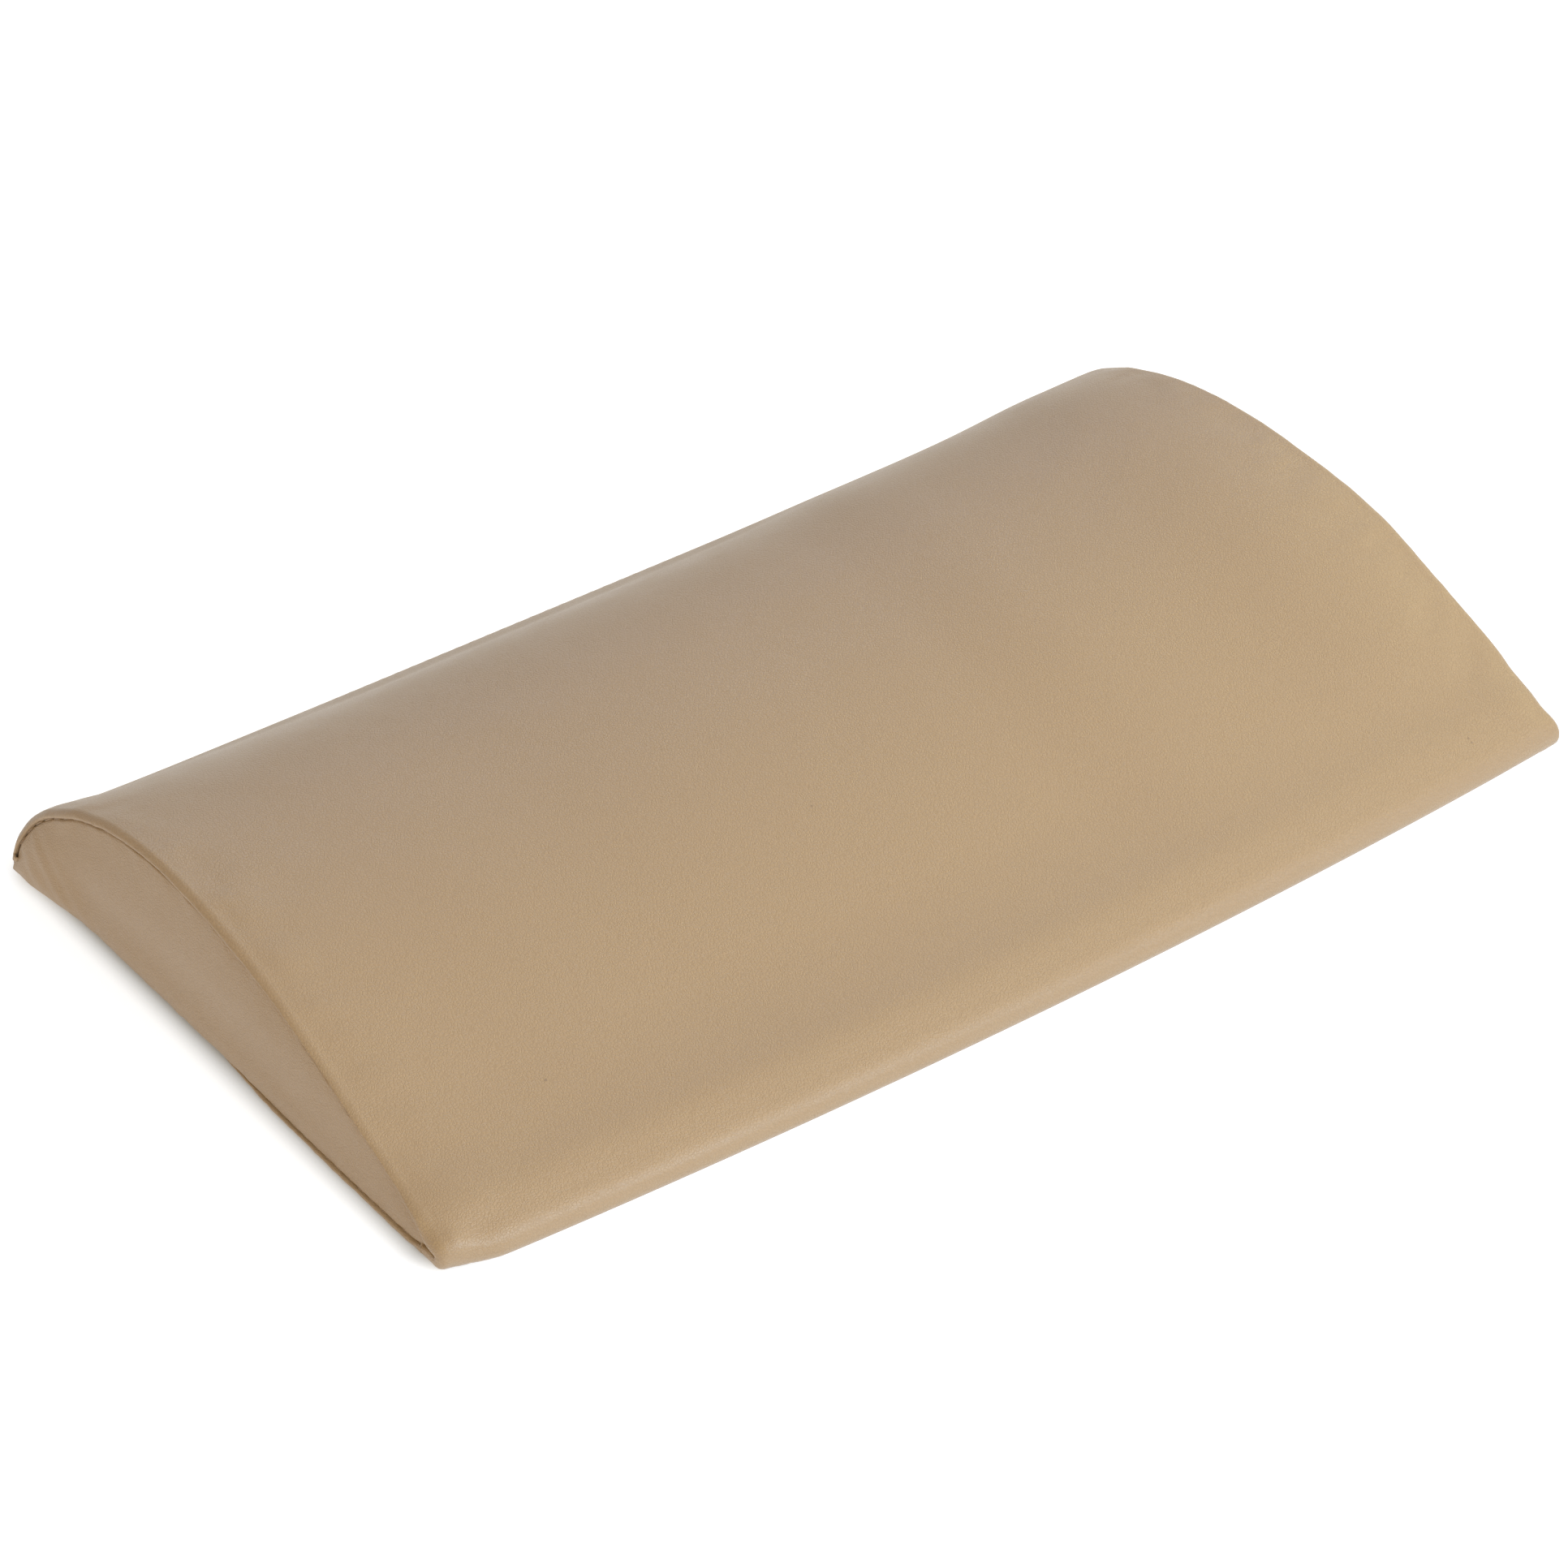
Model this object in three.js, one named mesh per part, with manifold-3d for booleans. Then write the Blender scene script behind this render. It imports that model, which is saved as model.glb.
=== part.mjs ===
// A wedge-shaped lumbar support cushion: a foam core in fibre wadding, inside a sewn leatherette
// cover that closes with a coil zip along the low back edge.
// Millimetres, +Z up. X runs along the cushion, -Y is the thin front edge, +Y is the zipped back.
// The origin is the middle of the underside.
import * as THREE from 'three';
import { mergeVertices } from 'three/addons/utils/BufferGeometryUtils.js';
import Module from 'manifold-3d';

const wasm = await Module();
wasm.setup();

// ---- driving dimensions -------------------------------------------------------------------
const LENGTH = 340;
const DEPTH = 198;
const HEIGHT = 38.6;

const NOSE_THICKNESS = 8; // thin front edge
const FRONT_SLOPE = THREE.MathUtils.degToRad(18.5); // rise of the top just behind the front edge
const CREST_Y = 32.5; // the highest line, towards the back
const BASE_EDGE_RADIUS = 2.5; // low back edge, under the zip
const ZIP_LEAN = THREE.MathUtils.degToRad(20); // the zip face leans forward as it rises
const ZIP_OPENING = 7; // between the two folded edges of the cover

// how far each smooth stretch of the section pulls on the curve before it turns
const CREST_PULL_FRONT = 45;
const CREST_PULL_BACK = 38;
const NOSE_PULL = 60;
const ZIP_PULL = 12;

const SKIN = 1.2; // leatherette with its backing
const GAP = 0.3; // clearance between neighbouring pieces
const THREAD = 0.6;
const WADDING = 1.4;
const FRONT_SEAM_BEHIND_NOSE = 6; // the front seam lies under the cushion

// the stuffed cover is not a plain extrusion
const FRONT_CORNER_PULL_IN = 6; // the front edge bows out between its corners
const MIDDLE_SAG = 1.5; // the top drops a little between the ends
const MIDDLE_SHIFT = 2.2; // and moves forward
const SAG_STARTS_AT = 10; // heights between which the sag grows to its full size
const SAG_FULL_AT = 22;
const SAG_POWER_LEFT = 6; // how close to each end the sag reaches
const SAG_POWER_RIGHT = 2;
const END_LEAN = 0.13; // inward lean of each end face, per unit of height
const LENGTH_STEPS = 12;

// zip: a size 3 nylon coil chain
const TAPE_THICKNESS = 0.5;
const TAPE_WIDTH = 12.5;
const COIL_INNER = 0.6; // from the centre line to each coil
const COIL_WIDTH = 1.7;
const COIL_HEIGHT = 1.6;
const COIL_PROUD = 0.4; // past the face of the cover
const COIL_HALF_LENGTH = 163.5;
const STOP_LENGTH = 2;
const TAPE_HALF_LENGTH = 166;
const EDGE_STITCH = 1.5; // from each folded edge to its row of stitches
const STITCH_LIFT = 0.15;

const SLIDER_LENGTH = 9;
const SLIDER_HALF_WIDTH = 3.1;
const SLIDER_PLATE = 0.8;
const SLIDER_CLEARANCE = 0.25;
const SLIDER_LIP = 0.55;
const SLIDER_END_PLAY = 0.3;
const INNER_PLATE = 0.6;
const POST_LENGTH = 3.2;
const POST_WIDTH = 0.7;
const BRIDGE_HALF_LENGTH = 2.8;
const BRIDGE_WIDTH = 1.4;
const BRIDGE_SLOT_HALF_LENGTH = 1.4;
const BRIDGE_SLOT_HEIGHT = 1.5;
const BRIDGE_TOP = 0.65;

const PULL_LENGTH = 22;
const PULL_WIDTH = 5;
const PULL_THICKNESS = 0.9;
const PULL_NECK_WIDTH = 4;
const PULL_WINDOW_LENGTH = 3.1;
const PULL_WINDOW_WIDTH = 2.1;

// ---- materials ----------------------------------------------------------------------------
const leatherette = new THREE.MeshStandardMaterial({ color: 0xb89d79, roughness: 0.5 });
const foam = new THREE.MeshStandardMaterial({ color: 0xe9dfc4, roughness: 0.95 });
const fibre = new THREE.MeshStandardMaterial({ color: 0xf2f1ec, roughness: 1 });
const thread = new THREE.MeshStandardMaterial({ color: 0xa78a66, roughness: 0.7 });
const tapeCloth = new THREE.MeshStandardMaterial({ color: 0xa58b69, roughness: 0.85 });
const nylon = new THREE.MeshStandardMaterial({ color: 0xb0946f, roughness: 0.35 });
const zinc = new THREE.MeshStandardMaterial({ color: 0xb4b2ac, roughness: 0.3, metalness: 1 });

// ---- the section --------------------------------------------------------------------------
// A closed outline in the plane across the cushion, as (Y, Z), counterclockwise from the middle
// of the zip: up and over the crest, down to the front edge, round it and back underneath.
const noseRadius = NOSE_THICKNESS / 2;
const noseCentre = new THREE.Vector2(-DEPTH / 2 + noseRadius, noseRadius);
const noseTop = noseCentre
  .clone()
  .add(new THREE.Vector2(-Math.sin(FRONT_SLOPE), Math.cos(FRONT_SLOPE)).multiplyScalar(noseRadius));
const crest = new THREE.Vector2(CREST_Y, HEIGHT);
const baseEdgeCentre = new THREE.Vector2(DEPTH / 2 - BASE_EDGE_RADIUS, BASE_EDGE_RADIUS);
const zipOut = new THREE.Vector2(Math.cos(ZIP_LEAN), Math.sin(ZIP_LEAN));
const zipUp = new THREE.Vector2(-Math.sin(ZIP_LEAN), Math.cos(ZIP_LEAN));
const zipLow = baseEdgeCentre.clone().addScaledVector(zipOut, BASE_EDGE_RADIUS);
const zipMiddle = zipLow.clone().addScaledVector(zipUp, ZIP_OPENING / 2);
const zipHigh = zipLow.clone().addScaledVector(zipUp, ZIP_OPENING);

const stretches = [
  { curve: new THREE.LineCurve(zipMiddle, zipHigh), steps: 1 },
  {
    curve: new THREE.CubicBezierCurve(
      zipHigh,
      zipHigh.clone().addScaledVector(zipUp, ZIP_PULL),
      crest.clone().add(new THREE.Vector2(CREST_PULL_BACK, 0)),
      crest,
    ),
    steps: 16,
  },
  {
    curve: new THREE.CubicBezierCurve(
      crest,
      crest.clone().sub(new THREE.Vector2(CREST_PULL_FRONT, 0)),
      noseTop
        .clone()
        .add(new THREE.Vector2(Math.cos(FRONT_SLOPE), Math.sin(FRONT_SLOPE)).multiplyScalar(NOSE_PULL)),
      noseTop,
    ),
    steps: 16,
  },
  {
    curve: new THREE.EllipseCurve(
      noseCentre.x,
      noseCentre.y,
      noseRadius,
      noseRadius,
      Math.PI / 2 + FRONT_SLOPE,
      Math.PI * 1.5,
    ),
    steps: 7,
  },
  {
    curve: new THREE.LineCurve(
      new THREE.Vector2(noseCentre.x, 0),
      new THREE.Vector2(baseEdgeCentre.x, 0),
    ),
    steps: 1,
  },
  {
    curve: new THREE.EllipseCurve(
      baseEdgeCentre.x,
      baseEdgeCentre.y,
      BASE_EDGE_RADIUS,
      BASE_EDGE_RADIUS,
      -Math.PI / 2,
      ZIP_LEAN,
    ),
    steps: 5,
  },
  { curve: new THREE.LineCurve(zipLow, zipMiddle), steps: 1 },
];

const outline = new THREE.CurvePath();
for (const { curve } of stretches) outline.add(curve);
const lengthsSoFar = outline.getCurveLengths();
const GIRTH = outline.getLength();
const NOSE_TOP_AT = lengthsSoFar[2];
const NOSE_UNDER_AT = lengthsSoFar[3];
const FRONT_SEAM_AT = NOSE_UNDER_AT + FRONT_SEAM_BEHIND_NOSE;

// distances along the outline where the faceted section has its corners
const corners = [0];
for (const { curve, steps } of stretches) {
  const start = corners.at(-1);
  for (let i = 1; i <= steps; i += 1) corners.push(start + (curve.getLength() * i) / steps);
}

// the point at a distance along the outline, moved inward by an inset
function pointAt(distance, inset) {
  const t = THREE.MathUtils.clamp(distance / GIRTH, 0, 1);
  const point = outline.getPoint(t);
  const tangent = outline.getTangent(t);
  return point.add(new THREE.Vector2(-tangent.y, tangent.x).multiplyScalar(inset));
}

// a layer that follows the outline between two distances, from one inset to a deeper one
function layer(from, to, outerInset, innerInset) {
  const inside = corners.filter((distance) => distance > from + GAP && distance < to - GAP);
  const distances = [from, ...inside, to];
  const outer = distances.map((distance) => pointAt(distance, outerInset));
  const inner = distances.map((distance) => pointAt(distance, innerInset)).reverse();
  return new THREE.Shape([...outer, ...inner]);
}

// the whole section, moved inward by an inset; the small radius at the back becomes a corner
function filled(inset) {
  const baseEdgeStarts = lengthsSoFar[4];
  const baseEdgeEnds = lengthsSoFar[5];
  const round = corners.filter((distance) => distance < baseEdgeStarts - GAP && distance > 0);
  const points = round.map((distance) => pointAt(distance, inset));
  const underneath = pointAt(baseEdgeStarts, inset);
  const behind = pointAt(baseEdgeEnds, inset);
  const fromCorner = (behind.y - underneath.y) * Math.tan(ZIP_LEAN);
  points.push(new THREE.Vector2(behind.x + fromCorner, underneath.y));
  return new THREE.Shape(points);
}

// ---- building helpers ---------------------------------------------------------------------
const cushion = new THREE.Group();

function addMesh(group, name, geometry, material) {
  const mesh = new THREE.Mesh(geometry, material);
  mesh.name = name;
  group.add(mesh);
  return mesh;
}

// a section swept along the cushion, from one X to another; the steps between are the same X
// positions in every piece, so that neighbours keep their clearance
function sweep(shape, fromX, toX, steps) {
  const geometry = new THREE.ExtrudeGeometry(shape, { depth: LENGTH, steps, bevelEnabled: false });
  const sectionToCushion = new THREE.Matrix4();
  sectionToCushion.set(0, 0, 1, -LENGTH / 2, 1, 0, 0, 0, 0, 1, 0, 0, 0, 0, 0, 1);
  geometry.applyMatrix4(sectionToCushion);
  const position = geometry.attributes.position;
  for (let i = 0; i < position.count; i += 1) {
    position.setX(i, THREE.MathUtils.clamp(position.getX(i), fromX, toX));
  }
  return geometry;
}

// the stuffed shape: bowed front edge, sagging crest, end faces that lean inward
function stuff(geometry) {
  const position = geometry.attributes.position;
  for (let i = 0; i < position.count; i += 1) {
    const x = position.getX(i);
    const y = position.getY(i);
    const z = position.getZ(i);
    const along = x / (LENGTH / 2);
    const towardsFront = THREE.MathUtils.clamp((CREST_Y - y) / (CREST_Y + DEPTH / 2), 0, 1);
    const power = x < 0 ? SAG_POWER_LEFT : SAG_POWER_RIGHT;
    const rise = THREE.MathUtils.smoothstep(z, SAG_STARTS_AT, SAG_FULL_AT);
    const middle = rise * (1 - Math.abs(along) ** power);
    position.setXYZ(
      i,
      x - along * END_LEAN * z,
      y + towardsFront * FRONT_CORNER_PULL_IN * along * along - MIDDLE_SHIFT * middle,
      z - MIDDLE_SAG * middle,
    );
  }
  return geometry;
}

function addSoft(name, shape, fromX, toX, steps, material) {
  addMesh(cushion, name, stuff(sweep(shape, fromX, toX, steps)), material);
}

function toSolid(geometry) {
  const bare = geometry.clone();
  bare.deleteAttribute('normal');
  bare.deleteAttribute('uv');
  const welded = mergeVertices(bare);
  const count = welded.attributes.position.count;
  const triVerts = welded.index
    ? Uint32Array.from(welded.index.array)
    : Uint32Array.from({ length: count }, (_, i) => i);
  const vertProperties = Float32Array.from(welded.attributes.position.array);
  return new wasm.Manifold(new wasm.Mesh({ numProp: 3, vertProperties, triVerts }));
}

function join(geometries) {
  const solid = geometries.map(toSolid).reduce((sum, next) => sum.add(next));
  const { vertProperties, triVerts } = solid.getMesh();
  const geometry = new THREE.BufferGeometry();
  geometry.setAttribute('position', new THREE.BufferAttribute(Float32Array.from(vertProperties), 3));
  geometry.setIndex(new THREE.BufferAttribute(Uint32Array.from(triVerts), 1));
  return geometry;
}

// ---- filling ------------------------------------------------------------------------------
const endInside = LENGTH / 2 - SKIN - 2 * GAP;
const waddingInset = SKIN + GAP;
const foamInset = waddingInset + WADDING + GAP;
const tapeEdge = TAPE_WIDTH + COIL_INNER;

addSoft('foam_core', filled(foamInset), -endInside, endInside, LENGTH_STEPS, foam);
addSoft(
  'wadding_wrap',
  layer(tapeEdge + GAP, GIRTH - tapeEdge - GAP, waddingInset, waddingInset + WADDING),
  -endInside,
  endInside,
  LENGTH_STEPS,
  fibre,
);

// ---- cover --------------------------------------------------------------------------------
const seamHalf = THREAD / 2 + GAP;
const zipHalf = ZIP_OPENING / 2;

addSoft(
  'cover_top_panel',
  layer(zipHalf, FRONT_SEAM_AT - seamHalf, 0, SKIN),
  -LENGTH / 2,
  LENGTH / 2,
  LENGTH_STEPS,
  leatherette,
);
addSoft(
  'cover_bottom_panel',
  layer(FRONT_SEAM_AT + seamHalf, GIRTH - zipHalf, 0, SKIN),
  -LENGTH / 2,
  LENGTH / 2,
  LENGTH_STEPS,
  leatherette,
);
addSoft(
  'seam_thread_front',
  layer(FRONT_SEAM_AT - THREAD / 2, FRONT_SEAM_AT + THREAD / 2, GAP, GAP + THREAD),
  -LENGTH / 2 + SKIN,
  LENGTH / 2 - SKIN,
  LENGTH_STEPS,
  thread,
);

// the end panels sit inside the lip that the top and bottom panels form, with the seam between
const seamInset = SKIN + GAP;
const endPanelInset = seamInset + THREAD + GAP;
const endPanel = filled(endPanelInset);
const archSeam = layer(tapeEdge, NOSE_TOP_AT, seamInset, seamInset + THREAD);
const baseSeam = layer(FRONT_SEAM_AT, GIRTH - tapeEdge, seamInset, seamInset + THREAD);
const seamDepth = (SKIN - THREAD) / 2;

for (const [side, direction] of [['left', -1], ['right', 1]]) {
  const between = (distanceA, distanceB) => {
    const ends = [direction * distanceA, direction * distanceB];
    return [Math.min(...ends), Math.max(...ends)];
  };
  const panelX = between(LENGTH / 2 - SKIN, LENGTH / 2);
  const seamX = between(LENGTH / 2 - SKIN + seamDepth, LENGTH / 2 - seamDepth);
  addSoft(`cover_end_panel_${side}`, endPanel, ...panelX, 1, leatherette);
  addSoft(`seam_thread_arch_${side}`, archSeam, ...seamX, 1, thread);
  addSoft(`seam_thread_base_${side}`, baseSeam, ...seamX, 1, thread);
}

// ---- zip tapes and the edge stitching that holds them -----------------------------------------
const upperStitch = zipHalf + EDGE_STITCH;
const lowerStitch = GIRTH - upperStitch;
const tapeInset = SKIN + GAP;
const tapeInner = tapeInset + TAPE_THICKNESS;

function addAlongZip(name, shape, material) {
  addSoft(name, shape, -TAPE_HALF_LENGTH, TAPE_HALF_LENGTH, LENGTH_STEPS, material);
}

const upperTape = layer(COIL_INNER, tapeEdge, tapeInset, tapeInner);
const lowerTape = layer(GIRTH - tapeEdge, GIRTH - COIL_INNER, tapeInset, tapeInner);
const stitchBottom = -STITCH_LIFT;
const stitchTop = stitchBottom - THREAD / 2;
addAlongZip('zip_tape_upper', upperTape, tapeCloth);
addAlongZip('zip_tape_lower', lowerTape, tapeCloth);
addAlongZip(
  'edge_stitch_upper',
  layer(upperStitch, upperStitch + THREAD, stitchTop, stitchBottom),
  thread,
);
addAlongZip(
  'edge_stitch_lower',
  layer(lowerStitch - THREAD, lowerStitch, stitchTop, stitchBottom),
  thread,
);

// ---- zip chain, in a frame of its own ---------------------------------------------------------
// Its X runs along the zip, its Y runs down the zip face and its Z points out of the cushion.
const zip = new THREE.Group();
zip.position.set(0, zipMiddle.x, zipMiddle.y);
zip.rotation.x = ZIP_LEAN - Math.PI / 2;
cushion.add(zip);

// a bar along the zip with an oval section
function coilBar(side) {
  const radiusY = COIL_WIDTH / 2;
  const radiusZ = COIL_HEIGHT / 2;
  const centreY = side * (COIL_INNER + radiusY);
  const section = new THREE.Shape();
  section.absellipse(centreY, COIL_PROUD - radiusZ, radiusY, radiusZ, 0, Math.PI * 2);
  const corners = section.getPoints(4).slice(0, -1);
  return sweep(new THREE.Shape(corners), -COIL_HALF_LENGTH, COIL_HALF_LENGTH, 1);
}

function box(sizeX, sizeY, sizeZ, x, y, z) {
  const geometry = new THREE.BoxGeometry(sizeX, sizeY, sizeZ);
  geometry.translate(x, y, z);
  return geometry;
}

const coilMiddle = COIL_INNER + COIL_WIDTH / 2;
const coilDepth = COIL_PROUD - COIL_HEIGHT / 2;
const stopX = COIL_HALF_LENGTH + GAP + STOP_LENGTH / 2;

for (const [side, direction] of [['upper', -1], ['lower', 1]]) {
  addMesh(zip, `zip_coil_${side}`, coilBar(direction), nylon);
  addMesh(
    zip,
    `zip_top_stop_${side}`,
    box(STOP_LENGTH, COIL_WIDTH, COIL_HEIGHT, stopX, direction * coilMiddle, coilDepth),
    zinc,
  );
}
addMesh(
  zip,
  'zip_bottom_stop',
  box(STOP_LENGTH, 2 * (COIL_INNER + COIL_WIDTH), COIL_HEIGHT, -stopX, 0, coilDepth),
  zinc,
);

// ---- slider -----------------------------------------------------------------------------------
const sliderX = COIL_HALF_LENGTH - SLIDER_LENGTH / 2 - SLIDER_END_PLAY;
const plateBottom = COIL_PROUD + SLIDER_CLEARANCE;
const plateTop = plateBottom + SLIDER_PLATE;
const innerPlateTop = -tapeInner - SLIDER_CLEARANCE;
const hingeZ = plateTop + BRIDGE_SLOT_HEIGHT / 2;

// a plate whose mouth end, towards +X, is wide and whose tail end is narrower and rounded
function sliderPlate(halfWidth, thickness, bottomZ) {
  const half = SLIDER_LENGTH / 2;
  const tail = halfWidth * 0.8;
  const shape = new THREE.Shape();
  shape.moveTo(-half + 1, -tail);
  shape.lineTo(half - 1, -halfWidth);
  shape.quadraticCurveTo(half, -halfWidth, half, -halfWidth + 1);
  shape.lineTo(half, halfWidth - 1);
  shape.quadraticCurveTo(half, halfWidth, half - 1, halfWidth);
  shape.lineTo(-half + 1, tail);
  shape.quadraticCurveTo(-half, tail, -half, tail - 1);
  shape.lineTo(-half, -tail + 1);
  shape.quadraticCurveTo(-half, -tail, -half + 1, -tail);
  const geometry = new THREE.ExtrudeGeometry(shape, {
    depth: thickness,
    bevelEnabled: false,
    curveSegments: 3,
  });
  geometry.translate(0, 0, bottomZ);
  return geometry;
}

// the arch over the slider that the pull tab swings in
function sliderBridge() {
  const top = plateTop + BRIDGE_SLOT_HEIGHT + BRIDGE_TOP;
  const slotTop = plateTop + BRIDGE_SLOT_HEIGHT;
  const shape = new THREE.Shape();
  shape.moveTo(-BRIDGE_HALF_LENGTH, plateBottom + SLIDER_PLATE / 2);
  shape.lineTo(BRIDGE_HALF_LENGTH, plateBottom + SLIDER_PLATE / 2);
  shape.lineTo(BRIDGE_HALF_LENGTH, hingeZ);
  shape.quadraticCurveTo(BRIDGE_HALF_LENGTH, top, BRIDGE_SLOT_HALF_LENGTH, top);
  shape.lineTo(-BRIDGE_SLOT_HALF_LENGTH, top);
  shape.quadraticCurveTo(-BRIDGE_HALF_LENGTH, top, -BRIDGE_HALF_LENGTH, hingeZ);
  const slot = new THREE.Path();
  slot.moveTo(-BRIDGE_SLOT_HALF_LENGTH, plateTop);
  slot.lineTo(-BRIDGE_SLOT_HALF_LENGTH, slotTop);
  slot.lineTo(BRIDGE_SLOT_HALF_LENGTH, slotTop);
  slot.lineTo(BRIDGE_SLOT_HALF_LENGTH, plateTop);
  shape.holes.push(slot);
  const geometry = new THREE.ExtrudeGeometry(shape, {
    depth: BRIDGE_WIDTH,
    bevelEnabled: false,
    curveSegments: 4,
  });
  geometry.rotateX(Math.PI / 2);
  geometry.translate(0, BRIDGE_WIDTH / 2, 0);
  return geometry;
}

const slider = new THREE.Group();
slider.position.x = sliderX;
zip.add(slider);

const lipHeight = plateBottom + SLIDER_PLATE / 2 + GAP;
const lipY = SLIDER_HALF_WIDTH - SLIDER_LIP / 2;
const lipLength = SLIDER_LENGTH / 2;
const postHeight = plateBottom - innerPlateTop + SLIDER_PLATE;
addMesh(
  slider,
  'zip_slider_body',
  join([
    sliderPlate(SLIDER_HALF_WIDTH, SLIDER_PLATE, plateBottom),
    sliderPlate(SLIDER_HALF_WIDTH - SLIDER_LIP, INNER_PLATE, innerPlateTop - INNER_PLATE),
    box(POST_LENGTH, POST_WIDTH, postHeight, 0, 0, (plateBottom + innerPlateTop) / 2),
    box(lipLength, SLIDER_LIP, lipHeight, lipLength / 4, lipY, lipHeight / 2 - GAP),
    box(lipLength, SLIDER_LIP, lipHeight, lipLength / 4, -lipY, lipHeight / 2 - GAP),
    sliderBridge(),
  ]),
  zinc,
);

// ---- pull tab, lying back along the closed chain ----------------------------------------------
function pullTab() {
  const pivot = PULL_THICKNESS / 2;
  const neck = PULL_NECK_WIDTH / 2;
  const wide = PULL_WIDTH / 2;
  const neckEnd = -PULL_WINDOW_LENGTH - 2 * PULL_THICKNESS;
  const shape = new THREE.Shape();
  shape.moveTo(pivot, -neck + pivot);
  shape.lineTo(pivot, neck - pivot);
  shape.quadraticCurveTo(pivot, neck, 0, neck);
  shape.lineTo(neckEnd, neck);
  shape.quadraticCurveTo(neckEnd - neck, neck, neckEnd - wide, wide);
  shape.lineTo(-PULL_LENGTH + wide, wide);
  shape.absarc(-PULL_LENGTH + wide, 0, wide, Math.PI / 2, Math.PI * 1.5, false);
  shape.lineTo(neckEnd - wide, -wide);
  shape.quadraticCurveTo(neckEnd - neck, -neck, neckEnd, -neck);
  shape.lineTo(0, -neck);
  shape.quadraticCurveTo(pivot, -neck, pivot, -neck + pivot);
  const windowHalf = PULL_WINDOW_WIDTH / 2;
  const windowEnd = -pivot - PULL_WINDOW_LENGTH;
  const opening = new THREE.Path();
  opening.moveTo(-pivot, -windowHalf);
  opening.lineTo(windowEnd, -windowHalf);
  opening.lineTo(windowEnd, windowHalf);
  opening.lineTo(-pivot, windowHalf);
  shape.holes.push(opening);
  const geometry = new THREE.ExtrudeGeometry(shape, {
    depth: PULL_THICKNESS,
    bevelEnabled: false,
    curveSegments: 6,
  });
  geometry.translate(0, 0, -PULL_THICKNESS / 2);
  return geometry;
}

const pull = addMesh(slider, 'zip_pull_tab', pullTab(), zinc);
pull.position.z = hingeZ;

export default cushion;
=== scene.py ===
"""The looks of a leatherette lumbar cushion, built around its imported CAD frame.

Metres, in the row frame: X along the cushion, -Y the thin front edge, +Y the zipped back, Z up.
"""

import math

import bmesh
import bpy
import numpy as np
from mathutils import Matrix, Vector
from mathutils.geometry import delaunay_2d_cdt
from mathutils.kdtree import KDTree


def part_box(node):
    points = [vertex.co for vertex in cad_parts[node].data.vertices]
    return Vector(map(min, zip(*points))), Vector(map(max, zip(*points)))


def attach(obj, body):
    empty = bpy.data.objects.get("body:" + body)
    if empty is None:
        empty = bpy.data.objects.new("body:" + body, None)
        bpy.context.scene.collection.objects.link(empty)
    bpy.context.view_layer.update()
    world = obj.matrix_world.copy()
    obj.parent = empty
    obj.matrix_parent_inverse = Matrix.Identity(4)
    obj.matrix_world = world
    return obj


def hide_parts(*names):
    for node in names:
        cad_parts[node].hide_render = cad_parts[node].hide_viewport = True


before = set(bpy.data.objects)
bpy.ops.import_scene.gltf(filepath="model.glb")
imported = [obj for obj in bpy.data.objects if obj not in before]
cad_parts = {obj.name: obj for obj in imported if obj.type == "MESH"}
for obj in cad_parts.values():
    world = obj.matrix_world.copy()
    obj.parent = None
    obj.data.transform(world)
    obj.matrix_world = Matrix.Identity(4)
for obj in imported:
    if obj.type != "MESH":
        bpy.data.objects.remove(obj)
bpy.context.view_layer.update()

MM = 0.001
SEED = 11

# ---- driving dimensions, read from the frame ----
top_low, top_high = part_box("cover_top_panel")
HALF_LENGTH = top_high.x
FRONT_Y = top_low.y
HEIGHT = top_high.z
BACK_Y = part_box("cover_bottom_panel")[1].y

# ---- the section across the cushion, as in the CAD ----
NOSE_RADIUS = 4 * MM
FRONT_SLOPE = math.radians(18.5)
CREST_Y = 32.5 * MM
BASE_EDGE_RADIUS = 2.5 * MM
ZIP_LEAN = math.radians(20)
ZIP_OPENING = 7 * MM
CREST_PULL_FRONT = 45 * MM
CREST_PULL_BACK = 38 * MM
NOSE_PULL = 60 * MM
ZIP_PULL = 12 * MM
FRONT_SEAM_BEHIND_NOSE = 6 * MM

FRONT_CORNER_PULL_IN = 6 * MM
MIDDLE_SAG = 1.75 * MM
MIDDLE_SHIFT = 2.45 * MM
SAG_STARTS_AT = 10 * MM
SAG_FULL_AT = 22 * MM
END_LEAN = 0.13

# ---- the sewn cover ----
FABRIC = 0.8 * MM
TUCKED_FABRIC = 0.45 * MM  # pressed thinner where it turns into a seam
SEAM_INSET = 2.2 * MM  # from the outer surface to the seam of an end panel
# radius and degrees of the lip beside that seam
LIP_TURNS = ((2.2 * MM, 60), (1.0 * MM, 25), (0.4 * MM, 80))
LIP_TAIL = 1.0 * MM
HEM_TURNS = ((0.6 * MM, 180),)  # the folded edge along the zip
HEM_TAIL = 0.5 * MM
FRONT_TURNS = ((0.9 * MM, 88),)  # the seam under the front edge
FRONT_TAIL = 1.5 * MM
SEAM_GAP = 0.1 * MM
STITCH_PITCH = 4.6 * MM
ROLL_SPACING = 0.25 * MM  # between the stations of a rolled edge
ZIP_HALF = ZIP_OPENING / 2


def smoothstep(value, low, high):
    """0 up to low, 1 from high on, and a smooth rise between them."""
    t = np.clip((value - low) / (high - low), 0, 1)
    return t * t * (3 - 2 * t)


def bell(value, centre, width):
    """1 at the centre, falling off smoothly to both sides."""
    return np.exp(-(((value - centre) / width) ** 2))


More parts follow.
